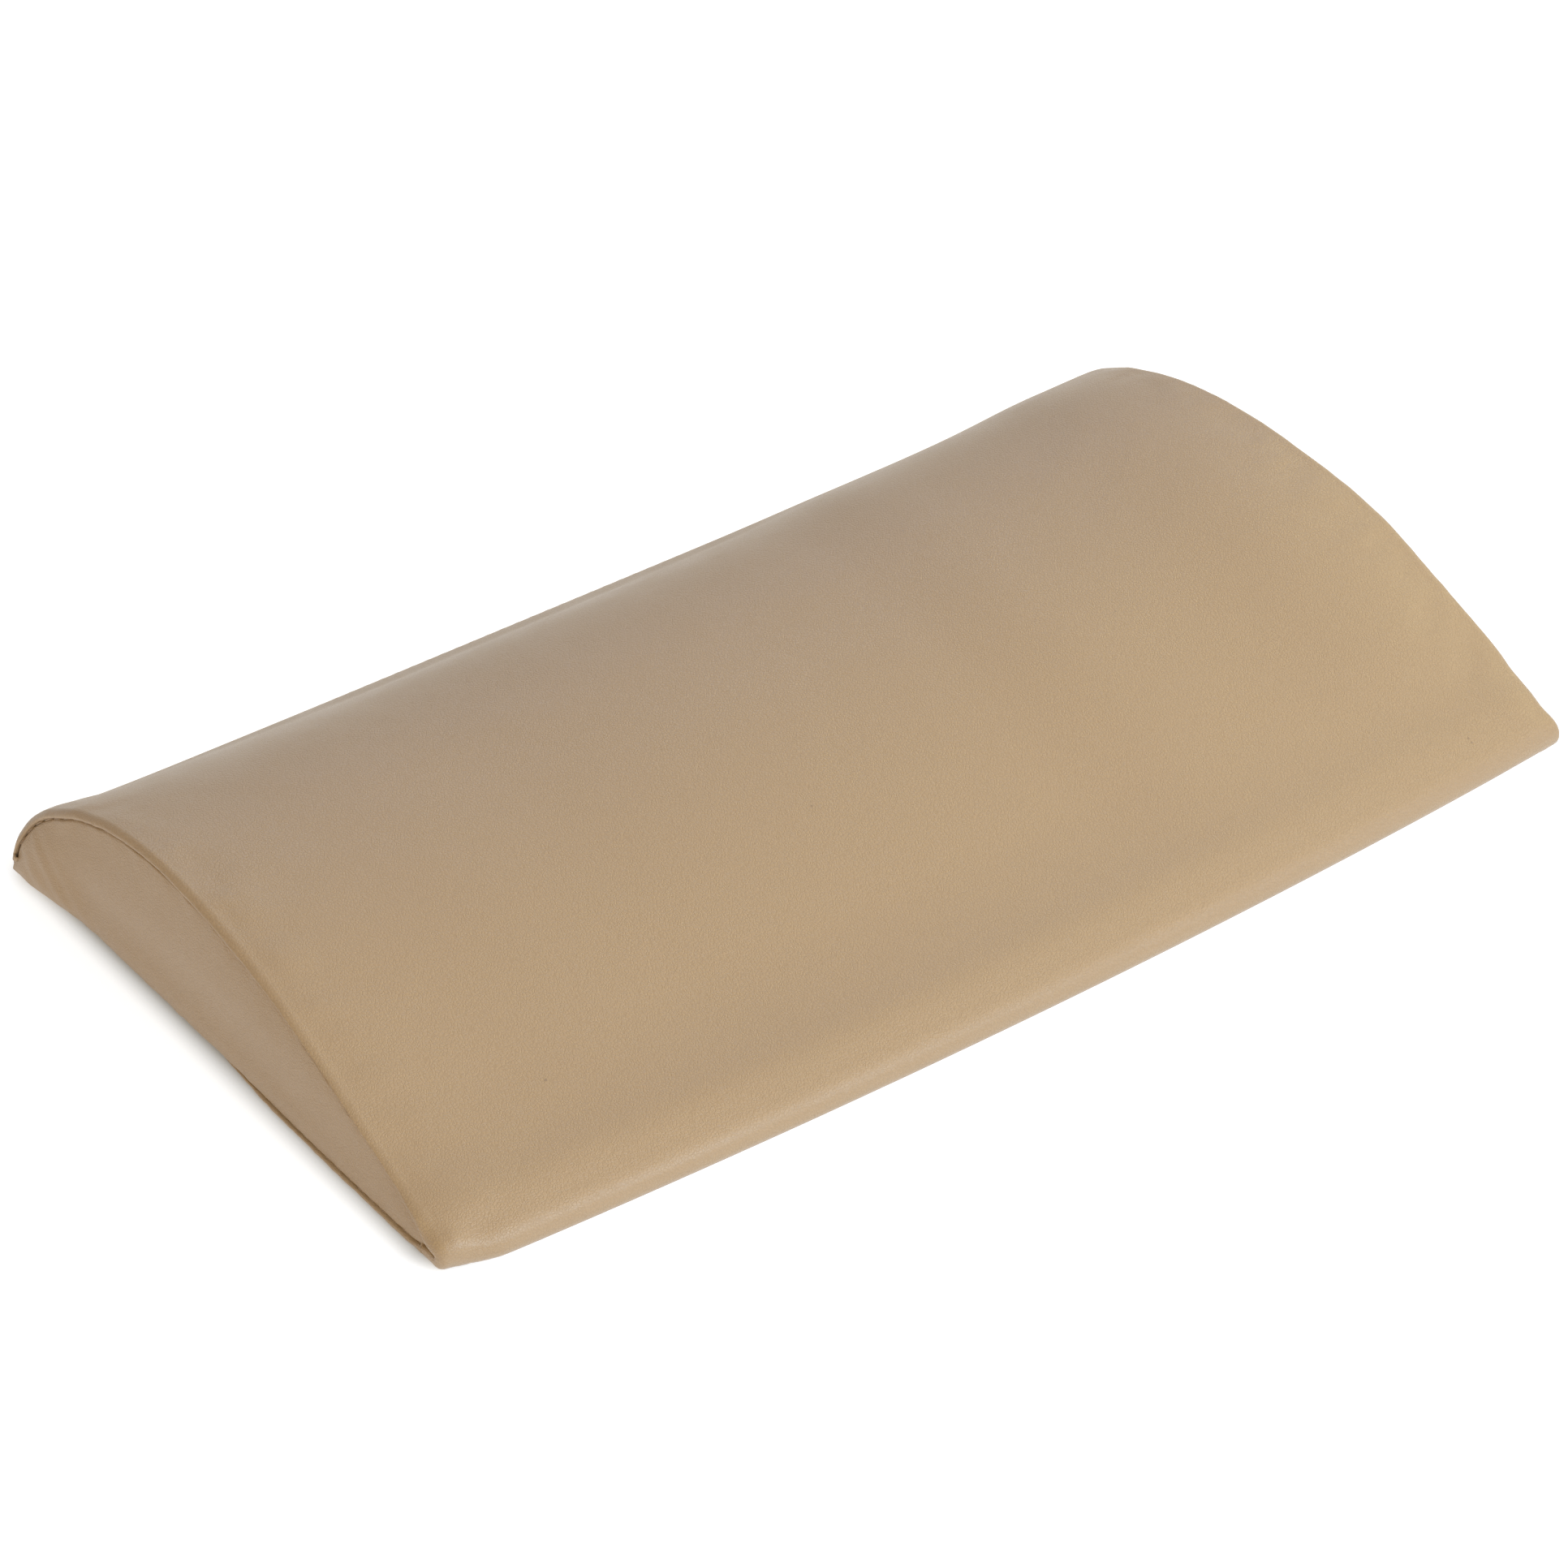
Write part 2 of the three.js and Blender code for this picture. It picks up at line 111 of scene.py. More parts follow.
def bezier(p0, p1, p2, p3, count=90):
    t = np.linspace(0, 1, count)[:, None]
    return (1 - t) ** 3 * p0 + 3 * (1 - t) ** 2 * t * p1 + 3 * (1 - t) * t**2 * p2 + t**3 * p3


def arc(centre, radius, start, end, count=40):
    t = np.linspace(start, end, count)
    return centre + radius * np.stack([np.cos(t), np.sin(t)], axis=1)


class Section:
    """The closed outline in Y and Z, by the distance round it from the middle of the zip, upward."""

    def __init__(self):
        nose = np.array([FRONT_Y + NOSE_RADIUS, NOSE_RADIUS])
        slope = np.array([math.cos(FRONT_SLOPE), math.sin(FRONT_SLOPE)])
        nose_top = nose + NOSE_RADIUS * np.array([-slope[1], slope[0]])
        crest = np.array([CREST_Y, HEIGHT])
        base = np.array([BACK_Y - BASE_EDGE_RADIUS, BASE_EDGE_RADIUS])
        out = np.array([math.cos(ZIP_LEAN), math.sin(ZIP_LEAN)])
        up = np.array([-out[1], out[0]])
        zip_low = base + BASE_EDGE_RADIUS * out
        zip_high = zip_low + ZIP_OPENING * up
        self.zip_middle = (zip_low + zip_high) / 2
        self.zip_out = out
        self.zip_up = up
        parts = [
            np.stack([self.zip_middle, zip_high]),
            bezier(zip_high, zip_high + ZIP_PULL * up, crest + [CREST_PULL_BACK, 0], crest),
            bezier(crest, crest - [CREST_PULL_FRONT, 0], nose_top + NOSE_PULL * slope, nose_top),
            arc(nose, NOSE_RADIUS, math.pi / 2 + FRONT_SLOPE, 1.5 * math.pi),
            arc(base, BASE_EDGE_RADIUS, -math.pi / 2, ZIP_LEAN),
            np.stack([zip_low, self.zip_middle]),
        ]
        points = np.vstack(parts)
        moved = np.linalg.norm(np.diff(points, axis=0), axis=1) > 1e-7
        self.points = points[np.r_[True, moved]]
        steps = np.linalg.norm(np.diff(self.points, axis=0), axis=1)
        self.distances = np.r_[0, np.cumsum(steps)]
        tangents = np.gradient(self.points, self.distances, axis=0)
        tangents /= np.linalg.norm(tangents, axis=1)[:, None]
        self.normals = np.stack([tangents[:, 1], -tangents[:, 0]], axis=1)
        self.girth = self.distances[-1]
        self.nose_under = self.distance_to([nose[0], 0])
        self.nose_top = self.distance_to(nose_top)
        self.front_seam = self.nose_under + FRONT_SEAM_BEHIND_NOSE

    def distance_to(self, point):
        return self.distances[np.linalg.norm(self.points - point, axis=1).argmin()]

    def at(self, distance, inset=0.0):
        """Y and Z at a distance round the outline, moved inward by the inset."""
        d = np.mod(distance, self.girth)
        y, z, ny, nz = (
            np.interp(d, self.distances, column)
            for column in (*self.points.T, *self.normals.T)
        )
        return y - inset * ny, z - inset * nz


section = Section()


# ---- the stuffed shape ----
def waves(count, shortest, longest, seed):
    """A smooth random field of two coordinates, as a sum of waves, from about -1 to 1."""
    rng = np.random.default_rng(seed)
    lengths = shortest * (longest / shortest) ** rng.random(count)
    headings = rng.random(count) * 2 * math.pi
    phases = rng.random(count) * 2 * math.pi

    def field(a, b):
        total = np.zeros(np.broadcast(a, b).shape)
        for length, heading, phase in zip(lengths, headings, phases):
            along = a * math.cos(heading) + b * math.sin(heading)
            total = total + np.sin(2 * math.pi * along / length + phase)
        return total / math.sqrt(count)

    return field


slow_waves = waves(9, 70 * MM, 160 * MM, SEED)
edge_waves = waves(12, 16 * MM, 45 * MM, SEED + 1)
pucker_waves = waves(10, 5 * MM, 11 * MM, SEED + 2)

END_REACH = 60 * MM  # how far in from each end its own shape is felt
END_ROUNDING = 0.8 * MM
END_ROUNDING_REACH = 7 * MM
END_ROUNDING_ON_RIGHT = 0.25  # share of the left end's
BACK_CORNER_ROUNDING = 3.0 * MM
BACK_CORNER_LENGTH = 6 * MM
BACK_CORNER_LIFT = 0.2 * MM
BACK_CORNER_LIFT_LENGTH = 12 * MM
LEFT_CORNER_ROUNDING = 3.4 * MM
LEFT_CORNER_LENGTH = 16 * MM
LEFT_SAG = 1.4 * MM
LEFT_SAG_SHARES = (0.55, 0.45)  # of it: beside the end, and what is added further in
RIGHT_DRAWN_BEHIND = 4.6 * MM
RIGHT_DRAWN_IN_FRONT = 2.9 * MM
RIGHT_TIP = 0.6 * MM
RIGHT_FULLNESS = 2.2 * MM
RIGHT_LIFT = 1.7 * MM
RIGHT_LIFT_AT = (143 * MM, 26 * MM)  # place along X, and width
# how far the left end's base is moved inward, in millimetres: at first, and how much less behind
LEFT_DRAWN_IN = 0.8
LEFT_LESS_BEHIND = 0.6
LEFT_LESS_AT_BACK = 2.9
LEFT_WAVES = ((0.5, 25 * MM, 30 * MM), (-0.1, -35 * MM, 22 * MM))  # size, place and width


def stuff(points):
    """The cover as the filling shapes it: bowed front edge, sagging top, ends that lean inward."""
    x, y, z = points[..., 0], points[..., 1], points[..., 2]
    along = x / HALF_LENGTH
    from_end = HALF_LENGTH - np.abs(x)
    towards_front = np.clip((CREST_Y - y) / (CREST_Y - FRONT_Y), 0, 1)
    towards_back = np.clip((y - CREST_Y) / (BACK_Y - CREST_Y), 0, 1)
    power = np.where(x < 0, 6.0, 2.0)
    rise = smoothstep(z, SAG_STARTS_AT, SAG_FULL_AT)
    middle = rise * (1 - np.abs(along) ** power)
    left = smoothstep(-x, HALF_LENGTH - END_REACH, HALF_LENGTH)
    right = smoothstep(x, HALF_LENGTH - END_REACH, HALF_LENGTH)
    # the left corner of the front edge is rounded
    left_corner = smoothstep(-x, HALF_LENGTH - LEFT_CORNER_LENGTH, HALF_LENGTH)
    left_corner = LEFT_CORNER_ROUNDING * left_corner
    # the right end is fuller in front of the crest, and drawn in behind it and at the front
    behind = smoothstep(y, 14 * MM, 86 * MM) * smoothstep(z, 11 * MM, 22 * MM)
    in_front = smoothstep(-y, 66 * MM, 90 * MM)
    full = RIGHT_FULLNESS * bell(y, -22 * MM, 28 * MM)
    right_end = full - RIGHT_DRAWN_BEHIND * behind - RIGHT_DRAWN_IN_FRONT * in_front
    right_end = right_end + RIGHT_TIP * smoothstep(-y, 87 * MM, 96 * MM)
    # the left end is drawn in along its base, and stands out at the back, and waves a little
    behind_middle = smoothstep(y, -25 * MM, 20 * MM)
    back_third = smoothstep(y, 60 * MM, 92 * MM)
    wave = sum(size * bell(y, place, width) for size, place, width in LEFT_WAVES)
    left_end = LEFT_DRAWN_IN - LEFT_LESS_BEHIND * behind_middle - LEFT_LESS_AT_BACK * back_third
    left_end = (left_end + wave) * MM * (1 - 0.6 * rise)
    # both back corners are rounded near the floor, and lifted off it a little
    back_corner = smoothstep(np.abs(x), HALF_LENGTH - BACK_CORNER_LENGTH, HALF_LENGTH)
    back_corner = back_corner * towards_back**3
    lifted = smoothstep(np.abs(x), HALF_LENGTH - BACK_CORNER_LIFT_LENGTH, HALF_LENGTH)
    lifted = lifted * smoothstep(y, 82 * MM, 98 * MM)
    lifted = lifted * (1 - smoothstep(z, 2 * MM, 9 * MM))
    # the top sags, less beside the left end and towards the right one
    near_end, further_in = LEFT_SAG_SHARES
    deeper = near_end + further_in * smoothstep(x, -115 * MM, -75 * MM)
    sag = MIDDLE_SAG + LEFT_SAG * deeper * (1 - smoothstep(x, 38 * MM, 74 * MM))
    # the top rolls off softly towards its end seams, most of all in front of the crest
    rolled_off = bell(from_end, 0, END_ROUNDING_REACH) * smoothstep(z, 4 * MM, 10 * MM)
    rolled_off = rolled_off * (0.1 + 0.9 * smoothstep(-y, -40 * MM, 10 * MM))
    rolled_off = rolled_off * np.where(x < 0, 1, END_ROUNDING_ON_RIGHT)
    return np.stack(
        [
            x - along * END_LEAN * z + right * right_end + left * left_end,
            y
            + towards_front * FRONT_CORNER_PULL_IN * along**2
            + left_corner * towards_front**4
            - MIDDLE_SHIFT * middle
            - BACK_CORNER_ROUNDING * back_corner * (1 - rise),
            z
            - sag * middle
            - END_ROUNDING * rolled_off
            + BACK_CORNER_LIFT * lifted
            + RIGHT_LIFT * rise * bell(x, *RIGHT_LIFT_AT),
        ],
        axis=-1,
    )


# ---- mesh helpers ----
def add_object(name, vertices, faces):
    mesh = bpy.data.meshes.new(name)
    mesh.from_pydata(np.asarray(vertices).tolist(), [], [list(map(int, f)) for f in faces])
    mesh.update()
    mesh.shade_smooth()
    piece = bpy.data.objects.new(name, mesh)
    bpy.context.scene.collection.objects.link(piece)
    return piece


def closed_object(name, vertices, faces):
    """An object with a closed mesh, whose faces are all turned outward."""
    piece = add_object(name, vertices, faces)
    mesh = bmesh.new()
    mesh.from_mesh(piece.data)
    bmesh.ops.recalc_face_normals(mesh, faces=mesh.faces)
    mesh.to_mesh(piece.data)
    mesh.free()
    return piece


def grid_faces(rows, columns):
    """Quads of a grid whose vertices run row by row."""
    i = np.arange(rows - 1)[:, None]
    j = np.arange(columns - 1)[None, :]
    here = i * columns + j
    above = (i + 1) * columns + j
    return np.stack([here, here + 1, above + 1, above], axis=-1).reshape(-1, 4)


def grid_normals(points):
    """Outward normals of a grid whose rows follow X and whose columns go round the section."""
    along_rows = np.gradient(points, axis=0)
    along_columns = np.gradient(points, axis=1)
    normals = np.cross(along_columns, along_rows)
    return normals / np.maximum(np.linalg.norm(normals, axis=-1), 1e-12)[..., None]


def roll(turns, tail):
    """How far fabric goes past and below a line as it curls over it: columns (past, below)."""
    past, below, heading = [0.0], [0.0], 0.0
    runs = [(radius * math.radians(degrees), math.radians(degrees)) for radius, degrees in turns]
    runs.append((tail, 0.0))
    for length, turn in runs:
        steps = max(2, round(length / ROLL_SPACING))
        for _ in range(steps):
            heading += turn / steps / 2
            past.append(past[-1] + length / steps * math.cos(heading))
            below.append(below[-1] + length / steps * math.sin(heading))
            heading += turn / steps / 2
    return np.array(past), np.array(below)


def graded(low, high, fine, coarse, reach):
    """Stations from low to high that are fine at both ends and coarse beyond the reach."""
    stations = [0.0]
    span = (high - low) / 2
    while stations[-1] < span:
        step = fine + (coarse - fine) * min(1.0, stations[-1] / reach)
        stations.append(stations[-1] + step)
    half = np.array(stations) * span / stations[-1]
    return np.r_[low + half, (high - half)[::-1][1:]]


def edged(low, high, low_edge, high_edge, fine, coarse, reach):
    """Stations across a panel with both edges rolled: place and inset at each one."""
    past_low, below_low = low_edge
    past_high, below_high = high_edge
    flat_low = low + past_low.max()
    flat_high = high - past_high.max()
    flat = graded(flat_low, flat_high, fine, coarse, reach)
    place = np.r_[(flat_low - past_low)[:0:-1], flat, (flat_high + past_high)[1:]]
    inset = np.r_[below_low[:0:-1], np.zeros(len(flat)), below_high[1:]]
    return place, inset


def slab(name, outer, thickness):
    """A closed sheet from its outer grid of points, with the given thickness at each one."""
    normals = grid_normals(outer)
    inner = outer - normals * thickness[..., None]
    rows, columns = outer.shape[:2]
    count = rows * columns
    faces = grid_faces(rows, columns)
    edge = np.r_[
        np.arange(columns),
        np.arange(1, rows) * columns + columns - 1,
        (rows - 1) * columns + np.arange(columns - 2, -1, -1),
        np.arange(rows - 2, 0, -1) * columns,
    ]
    ahead = np.roll(edge, -1)
    sides = np.stack([ahead, edge, edge + count, ahead + count], axis=1)
    vertices = np.vstack([outer.reshape(-1, 3), inner.reshape(-1, 3)])
    return closed_object(name, vertices, [*faces, *(faces[:, ::-1] + count), *sides])


def tube_rings(path, radii, sides, up):
    """Rings of points round a path, with the given radius at each point of it."""
    ahead = np.gradient(path, axis=0)
    ahead /= np.linalg.norm(ahead, axis=1)[:, None]
    side = np.cross(ahead, up)
    side /= np.linalg.norm(side, axis=1)[:, None]
    lift = np.cross(side, ahead)
    turn = np.linspace(0, 2 * math.pi, sides, endpoint=False)
    ring = side[:, None] * np.cos(turn)[None, :, None] + lift[:, None] * np.sin(turn)[None, :, None]
    return path[:, None] + ring * radii[:, None, None]


def tube_faces(rings, sides, offset=0):
    """Quads of a tube of rings, and the faces that close its two ends."""
    faces = []
    for i in range(rings - 1):
        for j in range(sides):
            k = (j + 1) % sides
            a = offset + i * sides
            faces.append((a + j, a + k, a + sides + k, a + sides + j))
    faces.append(tuple(range(offset, offset + sides)))
    last = offset + (rings - 1) * sides
    faces.append(tuple(range(last + sides - 1, last - 1, -1)))
    return faces


def add_tubes(name, tubes):
    """One object of several closed tubes, each a stack of rings."""
    vertices, faces, offset = [], [], 0
    for rings in tubes:
        count, sides = rings.shape[:2]
        vertices.append(rings.reshape(-1, 3))
        faces += tube_faces(count, sides, offset)
        offset += count * sides
    return closed_object(name, np.vstack(vertices), faces)


def extruded(name, xs, y, z):
    """A closed piece with the same outline in Y and Z at each of its stations along X."""
    columns = len(y)
    grid = np.stack([np.repeat(xs, columns), np.tile(y, len(xs)), np.tile(z, len(xs))], axis=1)
    return closed_object(name, grid, tube_faces(len(xs), columns))


# ---- cloth simulation ----
SHELL_VOXEL = 4 * MM
SHELL_AROUND = 110  # points round the section
STATIONS = 60  # along the cushion, for the shell and the foam
SHELL_PRESSURE = 4.0
SHELL_FRAMES = 20
SEAM_SHRINK = 0.035
PUCKER_CAP = 0.45 * MM
PUCKER_REACH = 13 * MM  # the folds fade out over this distance from the seams
SMOOTHING_ROUNDS = 7
SHORTENED_WIDTH = 4 * MM  # of the cloth beside a seam, which the thread shortens
MIDDLE_PUCKERS = (0.12, 0.88)  # shares of the folds: far from the seams, and added near them
SEAM_PUCKERS = (0.45, 0.55)  # shares: in the seams themselves, and added just beside them
NEAREST = 5  # vertices of the shell that the displacement of a point is taken from


def closed_shell():
    """The whole stuffed cover as one coarse closed mesh."""
    around = np.linspace(0, section.girth, SHELL_AROUND, endpoint=False)
    y, z = section.at(around, 0.3 * MM)
    return extruded("shell", np.linspace(-HALF_LENGTH, HALF_LENGTH, STATIONS), y, z)


def apply_modifiers(piece):
    """Replaces the piece's mesh by the result of its modifiers and removes them."""
    evaluated = piece.evaluated_get(bpy.context.evaluated_depsgraph_get())
    mesh = bpy.data.meshes.new_from_object(evaluated)
    piece.modifiers.clear()
    piece.data = mesh


def coordinates(mesh):
    flat = np.empty(len(mesh.vertices) * 3)
    mesh.vertices.foreach_get("co", flat)
    return flat.reshape(-1, 3)


def remesh(piece, voxel):
    modifier = piece.modifiers.new("remesh", "REMESH")
    modifier.mode = "VOXEL"
    modifier.voxel_size = voxel
    apply_modifiers(piece)


def subdivide(piece):
    """One level of subdivision, applied."""
    modifier = piece.modifiers.new("subdivide", "SUBSURF")
    modifier.levels = 1
    modifier.render_levels = 1
    apply_modifiers(piece)


def weigh(piece, name, weights):
    group = piece.vertex_groups.new(name=name)
    for index, weight in enumerate(weights):
        if weight > 0:
            group.add([index], float(weight), "REPLACE")


def inflate(piece, pressure, pinned, shrunk=None, shrink=0.0):
    """Runs Cloth on a closed piece and returns how far each of its vertices moves."""
    before = coordinates(piece.data)
    weigh(piece, "pinned", pinned)
    modifier = piece.modifiers.new("cloth", "CLOTH")
    cloth = modifier.settings
    cloth.use_pressure = True
    cloth.uniform_pressure_force = pressure
    cloth.effector_weights.gravity = 0
    cloth.vertex_group_mass = "pinned"
    cloth.quality = 5
    cloth.mass = 0.3
    cloth.tension_stiffness = 40
    cloth.compression_stiffness = 40
    cloth.shear_stiffness = 20
    cloth.bending_stiffness = 3
    if shrunk is not None:
        weigh(piece, "shrunk", shrunk)
        cloth.vertex_group_shrink = "shrunk"
        cloth.shrink_min = 0.0
        cloth.shrink_max = shrink
    modifier.collision_settings.use_collision = False
    scene = bpy.context.scene
    for number in range(1, SHELL_FRAMES + 1):
        scene.frame_set(number)
    apply_modifiers(piece)
    scene.frame_set(1)
    return coordinates(piece.data) - before


def neighbour_means(mesh, values, rounds):
    """Values at the vertices, averaged with their neighbours a number of times."""
    edges = np.empty(len(mesh.edges) * 2, int)
    mesh.edges.foreach_get("vertices", edges)
    a, b = edges.reshape(-1, 2).T
    degree = np.bincount(edges, minlength=len(values))[:, None]
    for _ in range(rounds):
        total = np.zeros_like(values)
        np.add.at(total, a, values[b])
        np.add.at(total, b, values[a])
        values = 0.5 * values + 0.5 * total / np.maximum(degree, 1)
    return values


def seam_puckers():
    """What sewing does to the cover: a function from points to their small displacement.

    The whole cover is blown up as one cloth whose seams are shorter than its panels. Only the
    short folds of the result are kept, because the filling holds the overall shape."""
    shell = closed_shell()
    remesh(shell, SHELL_VOXEL)
    at = coordinates(shell.data)
    from_end = HALF_LENGTH - np.abs(at[:, 0])
    seams = bell(from_end, 0, SHORTENED_WIDTH)
    underneath = at[:, 2] < 1.2 * MM
    at_zip = (at[:, 1] > BACK_Y - 6 * MM) & (at[:, 2] < 13 * MM)
    moved = inflate(shell, SHELL_PRESSURE, (underneath | at_zip).astype(float), seams, SEAM_SHRINK)
    folds = moved - neighbour_means(shell.data, moved, SMOOTHING_ROUNDS)
    size = np.linalg.norm(folds, axis=1)[:, None]
    folds *= np.minimum(1, PUCKER_CAP / np.maximum(size, 1e-9))
    near_seam = bell(from_end, 0, PUCKER_REACH)
    off_seam = smoothstep(from_end, 1 * MM, 5 * MM)
    for (least, added), share in ((MIDDLE_PUCKERS, near_seam), (SEAM_PUCKERS, off_seam)):
        folds *= (least + added * share)[:, None]
    tree = KDTree(len(at))
    for index, point in enumerate(at):
        tree.insert(point, index)
    tree.balance()
    bpy.data.objects.remove(shell)

    def field(points):
        flat = points.reshape(-1, 3)
        result = np.empty_like(flat)
        for index, point in enumerate(flat):
            near = tree.find_n(point, NEAREST)
            weights = np.array([1 / (d + 1.5 * MM) ** 2 for _, _, d in near])
            values = folds[[i for _, i, _ in near]]
            result[index] = weights @ values / weights.sum()
        return result.reshape(points.shape)

    return field


puckers = seam_puckers()


def settle(points):
    """From the plain extrusion to the sewn and stuffed shape."""
    return stuff(points) + puckers(points)


# ---- cover panels ----
lip = roll(LIP_TURNS, LIP_TAIL)
hem = roll(HEM_TURNS, HEM_TAIL)
front_edge = roll(FRONT_TURNS, FRONT_TAIL)


def base_tuck(y):
    """How far the bottom panel's end is hidden under the end panel, which overhangs it behind."""
    return 2.2 * MM * smoothstep(y, -25 * MM, 20 * MM)


def base_seam_height(y):
    """Height of the seam along the bottom of an end panel: it sinks behind, and rises in front."""
    in_front = smoothstep(-y, -30 * MM, 10 * MM)
    at_tip = smoothstep(-y, 84 * MM, 93 * MM)
    return (0.9 + 1.1 * in_front + 0.4 * smoothstep(-y, 50 * MM, 85 * MM) + 1.4 * at_tip) * MM


def end_seam_inset(distances):
    """How deep the seam of the end panels lies, round the outline."""
    y, _ = section.at(distances)
    upper = distances < section.nose_under
    tip = smoothstep(-y, 87 * MM, 93 * MM)
    shallower = 0.9 * MM * smoothstep(-y, -40 * MM, 60 * MM)
    top = SEAM_INSET - shallower * (1 - tip) + (NOSE_RADIUS - 0.25 * MM - SEAM_INSET) * tip
    return np.where(upper, top, base_seam_height(y))


def closing_zip(x, s):
    """Beyond the zip's stops the folded edges come together: how far s moves towards the middle."""
    closed = smoothstep(np.abs(x), HALF_LENGTH - 4.2 * MM, HALF_LENGTH - 2.2 * MM)
    centred = (s + section.girth / 2) % section.girth - section.girth / 2
    near = np.exp(-np.maximum(np.abs(centred) - ZIP_HALF, 0) / (7 * MM))
    return -np.sign(centred) * (ZIP_HALF - 0.12 * MM) * closed * near


def cover_panel(name, low, high, low_edge, high_edge, relief):
    """A panel of the cover between two distances round the outline, with all its edges rolled."""
    x, x_inset = edged(-HALF_LENGTH, HALF_LENGTH, lip, lip, 0.5 * MM, 2.6 * MM, 20 * MM)
    s, s_inset = edged(low, high, low_edge, high_edge, 0.5 * MM, 2.0 * MM, 12 * MM)
    scale = end_seam_inset(np.clip(s, low, high)) / SEAM_INSET
    near_end = smoothstep(np.abs(x), HALF_LENGTH - 20 * MM, HALF_LENGTH - 2 * MM)
    # the seam under the front edge gets shallow towards its ends
    at_front = bell(s, section.front_seam, 6 * MM)
    s_depth = s_inset[None, :] * (1 - 0.65 * near_end[:, None] * at_front[None, :])
    inset = x_inset[:, None] * scale[None, :] + s_depth
    y, z = section.at(s[None, :] + closing_zip(x[:, None], s[None, :]), inset)
    tuck = base_tuck(y) * (s > section.front_seam)
    tucked_x = x[:, None] - (np.sign(x) * near_end)[:, None] * tuck
    outer = settle(np.stack([tucked_x, y, z], axis=-1))
    outer = outer + grid_normals(outer) * relief(x[:, None], s[None, :])[..., None]
    outer[..., 2] = np.maximum(outer[..., 2], 0)  # it rests on the floor
    tucked = np.clip(inset / (1.2 * MM), 0, 1)
    return slab(name, outer, FABRIC + (TUCKED_FABRIC - FABRIC) * tucked)


def top_relief(x, s):
    """The top panel stands up beside its end seams, dips behind that, and waves slightly."""
    from_left = HALF_LENGTH + x
    from_right = HALF_LENGTH - x
    lip_swell = 0.0
    for from_end, strength in ((from_left, 1.0), (from_right, 0.8)):
        ripple = 1 + 0.5 * edge_waves(s, from_end * 0.4)
        lip_swell = lip_swell + strength * (
            0.16 * bell(from_end, 5 * MM, 3.2 * MM) * ripple
            - 0.07 * bell(from_end, 14 * MM, 6 * MM) * ripple
            + 0.06 * np.exp(-np.maximum(from_end, 0) / (5 * MM)) * pucker_waves(s, from_end * 0.25)
        )
    on_top = smoothstep(s, 16 * MM, 30 * MM) * smoothstep(section.front_seam - s, 6 * MM, 30 * MM)
    full_nose = 0.9 * bell(s, section.nose_top - 9 * MM, 9 * MM)
    round_nose = smoothstep(s, section.nose_top - 9 * MM, section.nose_top)
    fades_from, fades_to = section.nose_top + 1 * MM, section.nose_top + 6 * MM
    round_nose = round_nose * (1 - smoothstep(s, fades_from, fades_to))
    corner_fold = 0.7 * bell(from_left, 4 * MM, 2.6 * MM) - 0.3 * bell(from_left, 10 * MM, 4 * MM)
    relief = lip_swell * (0.3 + 0.7 * on_top) + 0.08 * slow_waves(x, s) * on_top
    return (relief + full_nose + corner_fold * round_nose) * MM


def bottom_relief(x, s):
    """The bottom panel lies flat, with slight puckers along its end seams."""
    from_end = np.minimum(HALF_LENGTH + x, HALF_LENGTH - x)
    return 0.08 * MM * bell(from_end, 1 * MM, 3 * MM) * pucker_waves(s, from_end)


top = cover_panel(
    "leatherette_top", ZIP_HALF, section.front_seam - SEAM_GAP, hem, front_edge, top_relief
)
bottom = cover_panel(
    "leatherette_bottom",
    section.front_seam + SEAM_GAP,
    section.girth - ZIP_HALF,
    front_edge,
    hem,
    bottom_relief,
)

GUSSET_EDGE_RADIUS = 0.9 * MM  # behind the crest; half of that in front of it
GUSSET_RECESS = 0.5 * MM
GUSSET_BULGE = 1.0 * MM
GUSSET_TIP_Y = -92.3 * MM
GUSSET_SPACING = 1.7 * MM  # between the points that fill the panel
GUSSET_RINGS = (0.08, 0.22, 0.4, 0.65, 1.0, 1.6)  # rings of points by the edge, in edge radii
DRAG_FOLDS = ((92, 0.3), (87, 0.15), (82, 0.35), (74, 0.2))  # place in Y, strength: millimetres
DRAG_SLANT = 1.25
DRAG_ON_RIGHT = 0.3  # share of the left panel's
BASE_WALL = BASE_EDGE_RADIUS * (math.pi / 2 + ZIP_LEAN)  # along the low back edge, up to the zip


